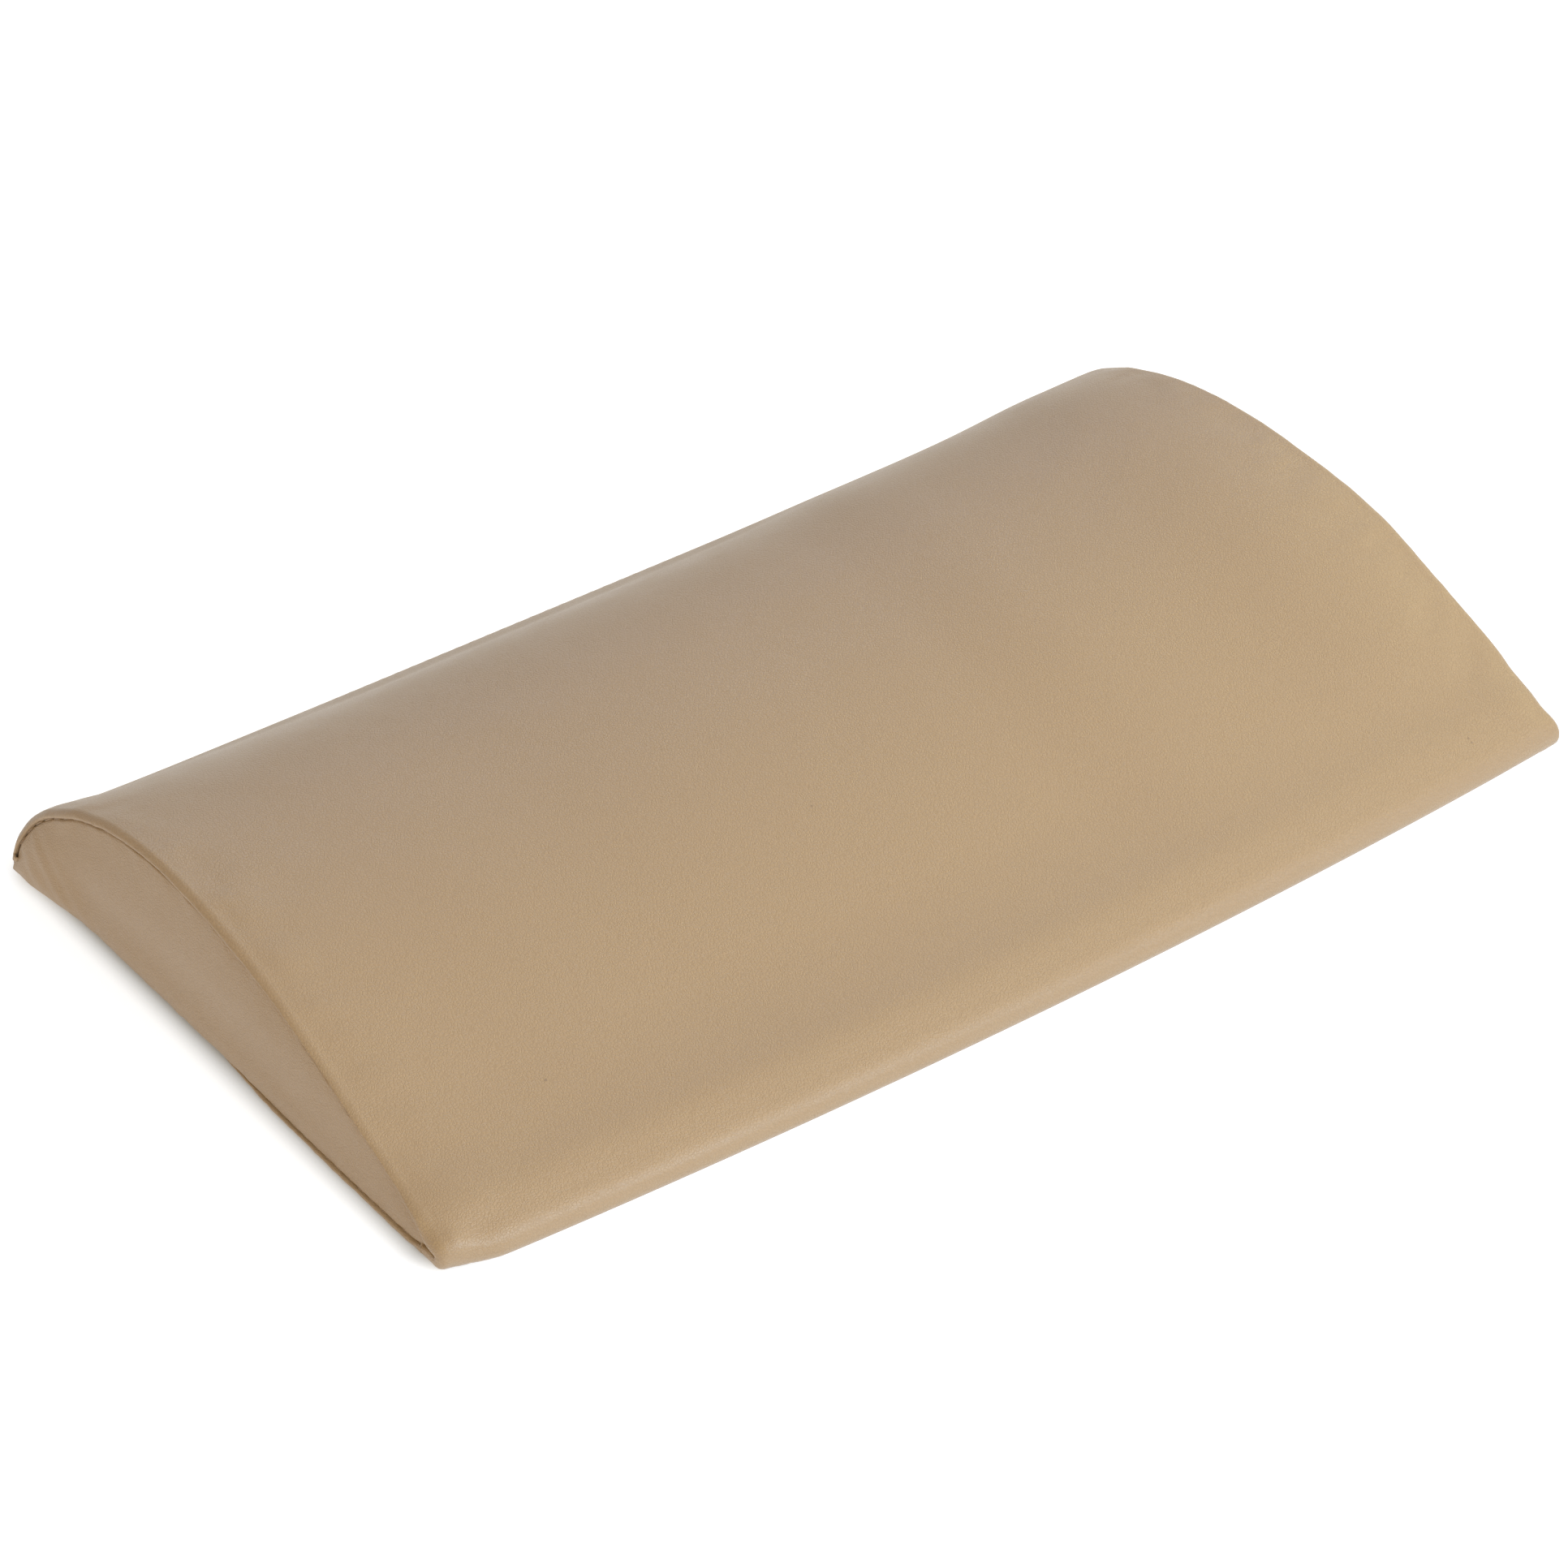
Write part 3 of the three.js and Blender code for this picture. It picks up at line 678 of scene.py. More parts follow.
def gusset_outline():
    """The end panel's edge in Y and Z: over the arch from the back, to the tip, back along the base."""
    arch_s = np.arange(0.4 * MM, section.nose_top, 0.9 * MM)
    arch_y, arch_z = section.at(arch_s, end_seam_inset(arch_s) + SEAM_GAP)
    keep = arch_y > -87.5 * MM
    arch_y, arch_z = arch_y[keep], arch_z[keep]
    tip = np.array([GUSSET_TIP_Y, base_seam_height(GUSSET_TIP_Y) + 0.45 * MM])
    shoulder = np.array([arch_y[-1], arch_z[-1]])
    t = np.linspace(0, 1, 9)[1:, None]
    bend = (shoulder + tip) / 2 + [-0.4 * MM, 0.3 * MM]
    nose = (1 - t) ** 2 * shoulder + 2 * (1 - t) * t * bend + t**2 * tip
    wall_s = np.linspace(section.girth - ZIP_HALF - BASE_WALL, section.girth - 0.6 * MM, 8)
    wall_y, wall_z = section.at(wall_s, end_seam_inset(wall_s) + SEAM_GAP)
    base_y = np.arange(GUSSET_TIP_Y + 0.9 * MM, wall_y[0] - 0.6 * MM, 0.9 * MM)
    base_z = base_seam_height(base_y) + SEAM_GAP + 0.3 * MM * smoothstep(-base_y, 88 * MM, 92 * MM)
    runs = ((arch_y, arch_z), nose.T, (base_y, base_z), (wall_y, wall_z))
    return np.vstack([np.stack(run, axis=1) for run in runs])


def distances_to_loop(points, loop):
    ahead = np.roll(loop, -1, axis=0)
    best = np.full(len(points), np.inf)
    for a, b in zip(loop, ahead):
        step = b - a
        t = np.clip(((points - a) @ step) / (step @ step), 0, 1)
        best = np.minimum(best, np.linalg.norm(points - a - t[:, None] * step, axis=1))
    return best


def inside_loop(points, loop):
    ahead = np.roll(loop, -1, axis=0)
    y, z = points[:, 0:1], points[:, 1:2]
    crosses = (loop[:, 1] > z) != (ahead[:, 1] > z)
    rise = np.where(np.abs(ahead[:, 1] - loop[:, 1]) < 1e-12, 1e-12, ahead[:, 1] - loop[:, 1])
    at_y = loop[:, 0] + (z - loop[:, 1]) / rise * (ahead[:, 0] - loop[:, 0])
    return ((crosses & (y < at_y)).sum(axis=1) % 2) == 1


def end_panel(name, side):
    """An end panel, its edge turned into the seam all round; side is -1 on the left, 1 on the right."""
    loop = gusset_outline()
    spans = np.roll(loop, -1, axis=0) - loop
    outward = np.stack([spans[:, 1], -spans[:, 0]], axis=1)
    outward = outward + np.roll(outward, 1, axis=0)
    outward /= np.linalg.norm(outward, axis=1)[:, None]
    points = [loop]
    for step in GUSSET_RINGS:
        ring = loop - outward * step * GUSSET_EDGE_RADIUS
        points.append(ring[distances_to_loop(ring, loop) > 0.93 * step * GUSSET_EDGE_RADIUS])
    columns = np.arange(FRONT_Y, BACK_Y, GUSSET_SPACING)
    rows = np.arange(0, HEIGHT, GUSSET_SPACING * 0.87)
    across, up = np.meshgrid(columns, rows, indexing="xy")
    across[1::2] += GUSSET_SPACING / 2
    fill = np.stack([across.ravel(), up.ravel()], axis=1)
    fill = fill[inside_loop(fill, loop)]
    points.append(fill[distances_to_loop(fill, loop) > 2.4 * GUSSET_EDGE_RADIUS])
    flat = np.vstack(points)
    flat, _, faces, _, _, _ = delaunay_2d_cdt(
        [Vector(p) for p in flat], [], [list(range(len(loop)))], 1, 1e-7
    )
    flat = np.array([tuple(p) for p in flat])
    from_edge = distances_to_loop(flat, loop)
    y, z = flat.T
    low = 1 - smoothstep(z, 3 * MM, 9 * MM)
    radius = GUSSET_EDGE_RADIUS * (0.5 + 0.5 * smoothstep(y, 20 * MM, 70 * MM))
    radius = radius + 0.6 * base_tuck(y) * low
    turned = np.clip(1 - from_edge / radius, 0, 1)
    drop = radius * (1 - np.sqrt(np.maximum(0, 1 - turned**2)))
    bulge = GUSSET_BULGE * (1 - np.exp(-from_edge / (5 * MM)))
    crease = 0.10 * pucker_waves(y, z) * np.exp(-from_edge / (3 * MM))
    drag = drag_wrinkles(y, z) if side < 0 else DRAG_ON_RIGHT * drag_wrinkles(y, z)
    relief = (crease + drag) * MM * np.clip(from_edge / GUSSET_EDGE_RADIUS, 0, 1)
    x = HALF_LENGTH - GUSSET_RECESS + bulge + relief - drop
    outer = settle(np.stack([side * x, y, z], axis=1))
    inner = settle(np.stack([side * (x - TUCKED_FABRIC), y, z], axis=1))
    count = len(flat)
    border = border_loop(faces)
    ahead = np.roll(border, -1)
    sides = np.stack([border, ahead, ahead + count, border + count], axis=1)
    back = [[i + count for i in reversed(face)] for face in faces]
    return closed_object(name, np.vstack([outer, inner]), [*faces, *back, *sides])


def border_loop(faces):
    """The vertices round the edge of a mesh of faces, in order."""
    following = {}
    edges = {(f[i], f[(i + 1) % len(f)]) for f in faces for i in range(len(f))}
    for a, b in edges:
        if (b, a) not in edges:
            following[a] = b
    start = min(following)
    loop = [start]
    while following[loop[-1]] != start:
        loop.append(following[loop[-1]])
    return np.array(loop)


def drag_wrinkles(y, z):
    """Faint slanting folds at the back of an end panel, in millimetres."""
    total = 0.0
    reach = smoothstep(z, 1 * MM, 6 * MM) * (1 - smoothstep(z, 13 * MM, 22 * MM))
    for place, strength in DRAG_FOLDS:
        line = y - (place * MM + DRAG_SLANT * (z - 12 * MM))
        fold = bell(line, 0, 2.4 * MM) - 0.6 * bell(line, 4 * MM, 2.6 * MM)
        total = total + strength * fold * reach
    return total


gusset_left = end_panel("leatherette_end_left", -1)
gusset_right = end_panel("leatherette_end_right", 1)

# ---- the filling ----
FOAM_INSET = 4.3 * MM
FOAM_HALF_LENGTH = 167.2 * MM
FOAM_AROUND = 130
FOAM_VOXEL = 5 * MM
FOAM_PRESSURE = 4.0
FOAM_CAP = 1.0 * MM
WADDING_INSET = 1.6 * MM
WADDING = 1.3 * MM
WADDING_HALF_LENGTH = 167.8 * MM
WADDING_CLEAR_OF_ZIP = 13.4 * MM


def foam_pad():
    """The foam block, blown up a little so that its faces crown and its edges round."""
    around = np.linspace(0, section.girth, FOAM_AROUND, endpoint=False)
    y, z = section.at(around, FOAM_INSET)
    keep = (np.diff(np.r_[y, y[0]]) ** 2 + np.diff(np.r_[z, z[0]]) ** 2) > (0.2 * MM) ** 2
    y, z = y[keep], z[keep]
    xs = np.linspace(-FOAM_HALF_LENGTH + FOAM_CAP, FOAM_HALF_LENGTH - FOAM_CAP, STATIONS)
    piece = extruded("foam_pad", xs, y, z)
    remesh(piece, FOAM_VOXEL)
    at = coordinates(piece.data)
    moved = inflate(piece, FOAM_PRESSURE, (at[:, 2] < FOAM_INSET + 1 * MM).astype(float))
    size = np.linalg.norm(moved, axis=1)[:, None]
    at = at + moved * np.minimum(1, FOAM_CAP / np.maximum(size, 1e-9))
    piece.data.vertices.foreach_set("co", at.ravel())
    subdivide(piece)
    piece.data.vertices.foreach_set("co", settle(coordinates(piece.data)).ravel())
    piece.data.update()
    piece.data.shade_smooth()
    return piece


def wadding_wrap():
    """A soft fibre layer wrapped round the foam, open along the zip."""
    x = graded(-WADDING_HALF_LENGTH, WADDING_HALF_LENGTH, 1 * MM, 3 * MM, 15 * MM)
    s = graded(WADDING_CLEAR_OF_ZIP, section.girth - WADDING_CLEAR_OF_ZIP, 1 * MM, 2.5 * MM, 15 * MM)
    y, z = section.at(np.broadcast_to(s, (len(x), len(s))), WADDING_INSET)
    points = np.stack([np.broadcast_to(x[:, None], y.shape), y, z], axis=-1)
    lumps = waves(14, 5 * MM, 25 * MM, SEED + 3)(x[:, None], s[None, :])
    return slab("fibre_wadding", settle(points), WADDING * (0.9 + 0.08 * np.clip(lumps, -1, 1)))


foam = foam_pad()
wadding = wadding_wrap()


# ---- thread ----
THREAD_RADIUS = 0.24 * MM
STITCH_LENGTH = 3.7 * MM
STITCH_RINGS = 9
STITCH_SIDES = 8


def stitches(name, path, ups, proud=0.0):
    """A row of stitches along a path, each bowed a little outward and dipping at its ends."""
    steps = np.linalg.norm(np.diff(path, axis=0), axis=1)
    along = np.r_[0, np.cumsum(steps)]
    count = int(along[-1] // STITCH_PITCH)
    start = (along[-1] - count * STITCH_PITCH) / 2
    t = np.linspace(0, 1, STITCH_RINGS)
    rings = []
    for number in range(count):
        low = start + number * STITCH_PITCH + (STITCH_PITCH - STITCH_LENGTH) / 2
        at = low + t * STITCH_LENGTH
        points = np.stack([np.interp(at, along, path[:, i]) for i in range(3)], axis=1)
        up = np.stack([np.interp(at, along, ups[:, i]) for i in range(3)], axis=1)
        bow = proud - THREAD_RADIUS - 0.55 * MM * np.abs(2 * t - 1) ** 4
        thin = THREAD_RADIUS * np.sqrt(np.clip(1 - np.abs(2 * t - 1) ** 6, 0.06, 1))
        rings.append(tube_rings(points + up * bow[:, None], thin, STITCH_SIDES, up))
    return add_tubes(name, rings)


ARCH_STITCH_START = 4 * MM
ARCH_STITCH_END_Y = -88 * MM
EDGE_STITCH_FROM_FOLD = 1.7 * MM
EDGE_STITCH_PROUD = 0.22 * MM
SEAM_STITCH_OUT = 0.5 * MM


def seam_stitches(name, side, s):
    """Stitches in the groove of an end seam, along the given distances round the outline."""
    y, z = section.at(s, end_seam_inset(s) + 0.5 * SEAM_GAP)
    x = side * (HALF_LENGTH - SEAM_STITCH_OUT - base_tuck(y) * (s > section.front_seam))
    path = settle(np.stack([x, y, z], axis=1))
    ups = np.broadcast_to([side, 0.0, 0.0], path.shape)
    return stitches(name, path, ups)


def edge_stitches(name, s):
    """The row of stitching that holds a folded edge beside the zip."""
    x = np.linspace(-HALF_LENGTH + 3.5 * MM, HALF_LENGTH - 3.5 * MM, 300)
    y, z = section.at(np.full_like(x, s))
    out_y, out_z = section.at(np.full_like(x, s), -1 * MM)
    path = settle(np.stack([x, y, z], axis=1))
    ups = np.stack([0 * x, (out_y - y) / MM, (out_z - z) / MM], axis=1)
    return stitches(name, path, ups, EDGE_STITCH_PROUD)


def front_stitches():
    """Stitches in the gap of the seam under the front edge."""
    x = np.linspace(-HALF_LENGTH + 4 * MM, HALF_LENGTH - 4 * MM, 300)
    y, z = section.at(np.full_like(x, section.front_seam), 0.75 * MM)
    path = settle(np.stack([x, y, z], axis=1))
    return stitches("front_seam_stitches", path, np.broadcast_to([0.0, 0.0, -1.0], path.shape))


arch_distances = np.linspace(ARCH_STITCH_START, section.nose_top, 200)
arch_distances = arch_distances[section.at(arch_distances)[0] > ARCH_STITCH_END_Y]
base_distances = np.linspace(section.front_seam + 4 * MM, section.girth - 9 * MM, 200)
arch_left = seam_stitches("arch_stitches_left", -1, arch_distances)
arch_right = seam_stitches("arch_stitches_right", 1, arch_distances)
base_left = seam_stitches("base_stitches_left", -1, base_distances)
base_right = seam_stitches("base_stitches_right", 1, base_distances)
front_seam = front_stitches()
edge_upper = edge_stitches("edge_stitches_upper", ZIP_HALF + EDGE_STITCH_FROM_FOLD)
edge_lower = edge_stitches("edge_stitches_lower", -ZIP_HALF - EDGE_STITCH_FROM_FOLD)

# ---- the zip ----
TAPE_INSET = 1.5 * MM
TAPE = 0.45 * MM
TAPE_FROM = 0.7 * MM
TAPE_TO = 13.0 * MM
TAPE_HALF_LENGTH = 168 * MM
COIL_HALF_LENGTH = 163.5 * MM
COIL_PITCH = 1.25 * MM
COIL_WIRE = 0.28 * MM
COIL_HEAD = -0.12 * MM  # each coil's heads reach just past the middle of the zip
COIL_BACK = 2.25 * MM
COIL_LOW = -1.15 * MM
COIL_HIGH = 0.36 * MM
COIL_STEPS = 12
COIL_SIDES = 6
COIL_SQUARED = 0.93  # keeps the squarish loops of the wire inside the coil's width and height
FILLER_RADIUS = 0.38 * MM
FILLER_STEPS = 40
zip_middle = np.array([0, *section.zip_middle])
zip_out = np.array([0, *section.zip_out])
zip_up = np.array([0, *section.zip_up])


def zip_tape(name, side):
    """A woven tape of the zip: along the opening's middle, then under the folded leatherette."""
    x = graded(-TAPE_HALF_LENGTH, TAPE_HALF_LENGTH, 1 * MM, 2.5 * MM, 10 * MM)
    s = np.sort(side * graded(TAPE_FROM, TAPE_TO, 0.35 * MM, 0.6 * MM, 3 * MM))
    past_coil = smoothstep(np.abs(x), COIL_HALF_LENGTH + 0.2 * MM, COIL_HALF_LENGTH + 1.4 * MM)
    meeting = (TAPE_FROM - 0.05 * MM) * np.exp(-(np.abs(s) - TAPE_FROM) / (2 * MM))
    s = s[None, :] - side * past_coil[:, None] * meeting[None, :]
    y, z = section.at(s, TAPE_INSET)
    points = settle(np.stack([np.broadcast_to(x[:, None], y.shape), y, z], axis=-1))
    return slab(name, points, np.full(points.shape[:2], TAPE))


def on_zip(x, across, out):
    """Points by their place on the zip: along it, across it (upward), and outward."""
    return (
        zip_middle
        + np.asarray(x)[..., None] * [1.0, 0, 0]
        + np.asarray(across)[..., None] * zip_up
        + np.asarray(out)[..., None] * zip_out
    )


def zip_coil(name, side):
    """A nylon coil wound round its filler cord; side is 1 for the upper one, -1 for the lower."""
    turns = int(2 * COIL_HALF_LENGTH / COIL_PITCH) - 1
    t = np.arange(turns * COIL_STEPS + 1) / COIL_STEPS
    shift = 0.25 if side > 0 else 0.75
    x = (t - turns / 2 + shift - 0.5) * COIL_PITCH
    angle = 2 * math.pi * t
    half_width = (COIL_BACK - COIL_HEAD) / 2
    half_height = (COIL_HIGH - COIL_LOW) / 2
    squarish = np.maximum(np.abs(np.cos(angle)), np.abs(np.sin(angle))) ** -0.35
    centre_across = (COIL_HEAD + COIL_BACK) / 2
    centre_out = (COIL_LOW + COIL_HIGH) / 2
    across = side * (centre_across + half_width * np.cos(angle) * squarish * COIL_SQUARED)
    out = centre_out + half_height * np.sin(angle) * squarish * COIL_SQUARED
    path = on_zip(x, across, out)
    middle = on_zip(x, side * np.full_like(x, centre_across), centre_out)
    wire = tube_rings(path, np.full(len(path), COIL_WIRE), COIL_SIDES, path - middle)
    ends = np.linspace(x[0], x[-1], FILLER_STEPS)
    core_path = on_zip(ends, side * np.full_like(ends, 1.25 * MM), -0.4 * MM)
    core = tube_rings(core_path, np.full(FILLER_STEPS, FILLER_RADIUS), 10, zip_out)
    return add_tubes(name, [wire, core])


def bevelled_copy(node, name, width):
    """A CAD piece with its edges rounded over. Its faces are joined up first, to share edges."""
    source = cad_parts[node]
    triangles = [face.vertices for face in source.data.polygons]
    piece = add_object(name, coordinates(source.data), triangles)
    piece.matrix_world = source.matrix_world.copy()
    mesh = bmesh.new()
    mesh.from_mesh(piece.data)
    bmesh.ops.remove_doubles(mesh, verts=mesh.verts, dist=0.002 * MM)
    flat = math.radians(1)
    bmesh.ops.dissolve_limit(mesh, angle_limit=flat, verts=mesh.verts, edges=mesh.edges)
    mesh.to_mesh(piece.data)
    mesh.free()
    modifier = piece.modifiers.new("bevel", "BEVEL")
    modifier.width = width
    modifier.segments = 3
    modifier.limit_method = "ANGLE"
    modifier.angle_limit = math.radians(25)
    modifier.harden_normals = True
    piece.data.shade_smooth()
    apply_modifiers(piece)
    return piece


tape_upper = zip_tape("zip_tape_woven_upper", 1)
tape_lower = zip_tape("zip_tape_woven_lower", -1)
coil_upper = zip_coil("zip_coil_wound_upper", 1)
coil_lower = zip_coil("zip_coil_wound_lower", -1)
stop_top_upper = bevelled_copy("zip_top_stop_upper", "top_stop_upper", 0.2 * MM)
stop_top_lower = bevelled_copy("zip_top_stop_lower", "top_stop_lower", 0.2 * MM)
stop_bottom = bevelled_copy("zip_bottom_stop", "bottom_stop", 0.25 * MM)
slider = bevelled_copy("zip_slider_body", "slider_body", 0.12 * MM)
pull = bevelled_copy("zip_pull_tab", "pull_tab", 0.14 * MM)

# ---- materials ----


class Nodes:
    """A small helper that builds a material's node tree."""

    def __init__(self, name):
        self.material = bpy.data.materials.new(name)
        self.material.use_nodes = True
        self.tree = self.material.node_tree
        self.shader = self.tree.nodes["Principled BSDF"]
        self.place = self.add("ShaderNodeTexCoord").outputs["Object"]

    def add(self, kind, **values):
        node = self.tree.nodes.new(kind)
        for key, value in values.items():
            setattr(node, key, value)
        return node

    def link(self, source, target):
        self.tree.links.new(source, target)

    def mapped(self, scale, rotation=(0, 0, 0)):
        node = self.add("ShaderNodeMapping")
        node.inputs["Scale"].default_value = scale
        node.inputs["Rotation"].default_value = rotation
        self.link(self.place, node.inputs["Vector"])
        return node.outputs["Vector"]

    def noise(self, scale, detail=2.0, roughness=0.5, vector=None):
        node = self.add("ShaderNodeTexNoise")
        node.inputs["Scale"].default_value = scale
        node.inputs["Detail"].default_value = detail
        node.inputs["Roughness"].default_value = roughness
        self.link(vector or self.place, node.inputs["Vector"])
        return node.outputs["Fac"]

    def cells(self, scale, feature="F1"):
        node = self.add("ShaderNodeTexVoronoi", feature=feature)
        node.inputs["Scale"].default_value = scale
        self.link(self.place, node.inputs["Vector"])
        return node

    def ramp(self, source, stops):
        node = self.add("ShaderNodeValToRGB")
        elements = node.color_ramp.elements
        while len(elements) < len(stops):
            elements.new(0.5)
        for element, (position, colour) in zip(elements, stops):
            element.position = position
            rgb = colour if isinstance(colour, tuple) else (colour,) * 3
            element.color = (*rgb, 1)
        self.link(source, node.inputs["Fac"])
        return node.outputs["Color"]

    def math(self, operation, a, b=None):
        node = self.add("ShaderNodeMath", operation=operation)
        for index, value in enumerate((a, b)):
            if value is None:
                continue
            if isinstance(value, (int, float)):
                node.inputs[index].default_value = value
            else:
                self.link(value, node.inputs[index])
        return node.outputs["Value"]

    def mix(self, factor, a, b, blend="MIX"):
        node = self.add("ShaderNodeMix", data_type="RGBA", blend_type=blend)
        for socket, value in ((node.inputs[0], factor), (node.inputs[6], a), (node.inputs[7], b)):
            if isinstance(value, (int, float)):
                socket.default_value = value
            elif isinstance(value, tuple):
                socket.default_value = (*value, 1)
            else:
                self.link(value, socket)
        return node.outputs[2]

    def bump(self, height, distance, strength=1.0, after=None):
        node = self.add("ShaderNodeBump")
        node.inputs["Strength"].default_value = strength
        node.inputs["Distance"].default_value = distance
        self.link(height, node.inputs["Height"])
        if after is not None:
            self.link(after, node.inputs["Normal"])
        return node.outputs["Normal"]

    def set(self, **values):
        for key, value in values.items():
            socket = self.shader.inputs[key.replace("_", " ")]
            if isinstance(value, (int, float, tuple)):
                socket.default_value = value
            else:
                self.link(value, socket)


def leatherette_material():
    """Smooth tan leatherette: fine pebbled grain, slight mottling, a few dark specks and fibres."""
    n = Nodes("leatherette")
    cells = n.cells(1250, "DISTANCE_TO_EDGE").outputs["Distance"]
    pebbles = n.add("ShaderNodeMapRange", interpolation_type="SMOOTHERSTEP")
    n.link(cells, pebbles.inputs["Value"])
    pebbles.inputs["From Max"].default_value = 0.2
    pebbles = pebbles.outputs["Result"]
    fine = n.noise(2200, 2.0)
    mottle = n.noise(38, 4.0, 0.6)
    broad = n.noise(7, 2.0)
    base = n.mix(broad, (0.340, 0.231, 0.134), (0.362, 0.245, 0.140))
    base = n.mix(n.math("MULTIPLY", mottle, 0.35), base, (0.330, 0.224, 0.131))
    valley = n.ramp(pebbles, [(0.0, 0.88), (0.7, 1.0)])
    base = n.mix(0.5, base, valley, "MULTIPLY")
    speck_cells = n.cells(95)
    speck = n.math("LESS_THAN", speck_cells.outputs["Distance"], 0.035)
    rare = n.math("GREATER_THAN", n.noise(55, 0.0), 0.6)
    base = n.mix(n.math("MULTIPLY", n.math("MULTIPLY", speck, rare), 0.4), base, (0.12, 0.08, 0.05))
    rough = n.ramp(mottle, [(0.3, 0.38), (0.7, 0.46)])
    grain = n.math("ADD", n.math("MULTIPLY", pebbles, 0.6), n.math("MULTIPLY", fine, 0.45))
    normal = n.bump(grain, 0.13 * MM, 0.62)
    normal = n.bump(mottle, 0.25 * MM, 0.35, normal)
    n.set(Base_Color=base, Roughness=rough, Normal=normal)
    n.set(Sheen_Weight=0.12, Sheen_Roughness=0.45, Specular_IOR_Level=0.5)
    return n.material


def foam_material():
    """Open-cell foam: pale yellow, pitted with fine pores."""
    n = Nodes("foam")
    pores = n.cells(900).outputs["Distance"]
    base = n.ramp(pores, [(0.05, (0.35, 0.28, 0.13)), (0.4, (0.80, 0.70, 0.42))])
    normal = n.bump(pores, 0.4 * MM, 0.8)
    n.set(Base_Color=base, Normal=normal, Roughness=0.9)
    n.set(Subsurface_Weight=0.1, Subsurface_Radius=(0.004, 0.003, 0.002))
    return n.material


def wadding_material():
    """White polyester fibre: fine tangled strands and a soft sheen."""
    n = Nodes("wadding")
    warp = n.noise(120, 3.0)
    strands = n.noise(900, 4.0, 0.7, n.mapped((1, 0.12, 1), (0, 0, 0.6)))
    base = n.ramp(strands, [(0.3, (0.62, 0.62, 0.60)), (0.7, (0.86, 0.86, 0.84))])
    normal = n.bump(n.math("ADD", strands, warp), 0.6 * MM, 0.7)
    n.set(Base_Color=base, Normal=normal, Roughness=0.95, Sheen_Weight=0.4)
    return n.material


def thread_material():
    """Tan polyester thread with its twist."""
    n = Nodes("thread")
    twist = n.add("ShaderNodeTexWave", bands_direction="DIAGONAL")
    twist.inputs["Scale"].default_value = 900
    twist.inputs["Distortion"].default_value = 1.0
    n.link(n.place, twist.inputs["Vector"])
    base = n.ramp(twist.outputs["Fac"], [(0.2, (0.19, 0.115, 0.06)), (0.8, (0.31, 0.20, 0.11))])
    n.set(Base_Color=base, Normal=n.bump(twist.outputs["Fac"], 0.08 * MM, 0.8), Roughness=0.6)
    n.set(Sheen_Weight=0.2)
    return n.material


def tape_material():
    """Woven polyester tape: a fine herringbone along the zip."""
    n = Nodes("zip_tape")
    turned = n.mapped((1, 1, 1), (-ZIP_LEAN, 0, 0))
    split = n.add("ShaderNodeSeparateXYZ")
    n.link(turned, split.inputs[0])
    along = split.outputs["X"]
    across = split.outputs["Z"]
    rib = n.math("PINGPONG", across, 0.9 * MM)
    slant = n.math("SINE", n.math("MULTIPLY", n.math("ADD", along, rib), 2 * math.pi / (0.55 * MM)))
    weft = n.math("SINE", n.math("MULTIPLY", across, 2 * math.pi / (0.32 * MM)))
    weave = n.math("ADD", slant, n.math("MULTIPLY", weft, 0.5))
    level = n.math("MULTIPLY", n.math("ADD", weave, 1.5), 0.333)
    base = n.ramp(level, [(0.1, (0.20, 0.13, 0.075)), (0.9, (0.40, 0.28, 0.17))])
    n.set(Base_Color=base, Normal=n.bump(level, 0.12 * MM, 0.9), Roughness=0.85, Sheen_Weight=0.25)
    return n.material


def coil_material():
    """Dyed nylon monofilament, a little translucent and glossy."""
    n = Nodes("zip_coil")
    tone = n.noise(300, 2.0)
    base = n.ramp(tone, [(0.35, (0.27, 0.18, 0.105)), (0.65, (0.35, 0.24, 0.14))])
    n.set(Base_Color=base, Normal=n.bump(tone, 0.03 * MM, 0.4), Roughness=0.33)
    n.set(Subsurface_Weight=0.15, Subsurface_Radius=(0.0008, 0.0006, 0.0004))
    return n.material


def metal_material():
    """Nickel-plated zinc, faintly brushed, with a few scuffs."""
    n = Nodes("zip_metal")
    brushed = n.noise(1800, 3.0, 0.6, n.mapped((0.08, 1, 1)))
    scuffs = n.noise(220, 5.0, 0.7)
    rough = n.ramp(scuffs, [(0.4, 0.26), (0.65, 0.40)])
    base = n.ramp(scuffs, [(0.35, (0.47, 0.455, 0.43)), (0.7, (0.52, 0.505, 0.48))])
    n.set(Base_Color=base, Roughness=rough, Normal=n.bump(brushed, 0.01 * MM, 0.5), Metallic=1.0)
    return n.material


# ---- hand the pieces to the frame ----
def hand_over(material, pieces, body="cushion"):
    """Pieces of one material, each with the CAD node that it replaces."""
    for piece, node in pieces:
        piece.data.materials.clear()
        piece.data.materials.append(material)
        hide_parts(node)
        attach(piece, body)


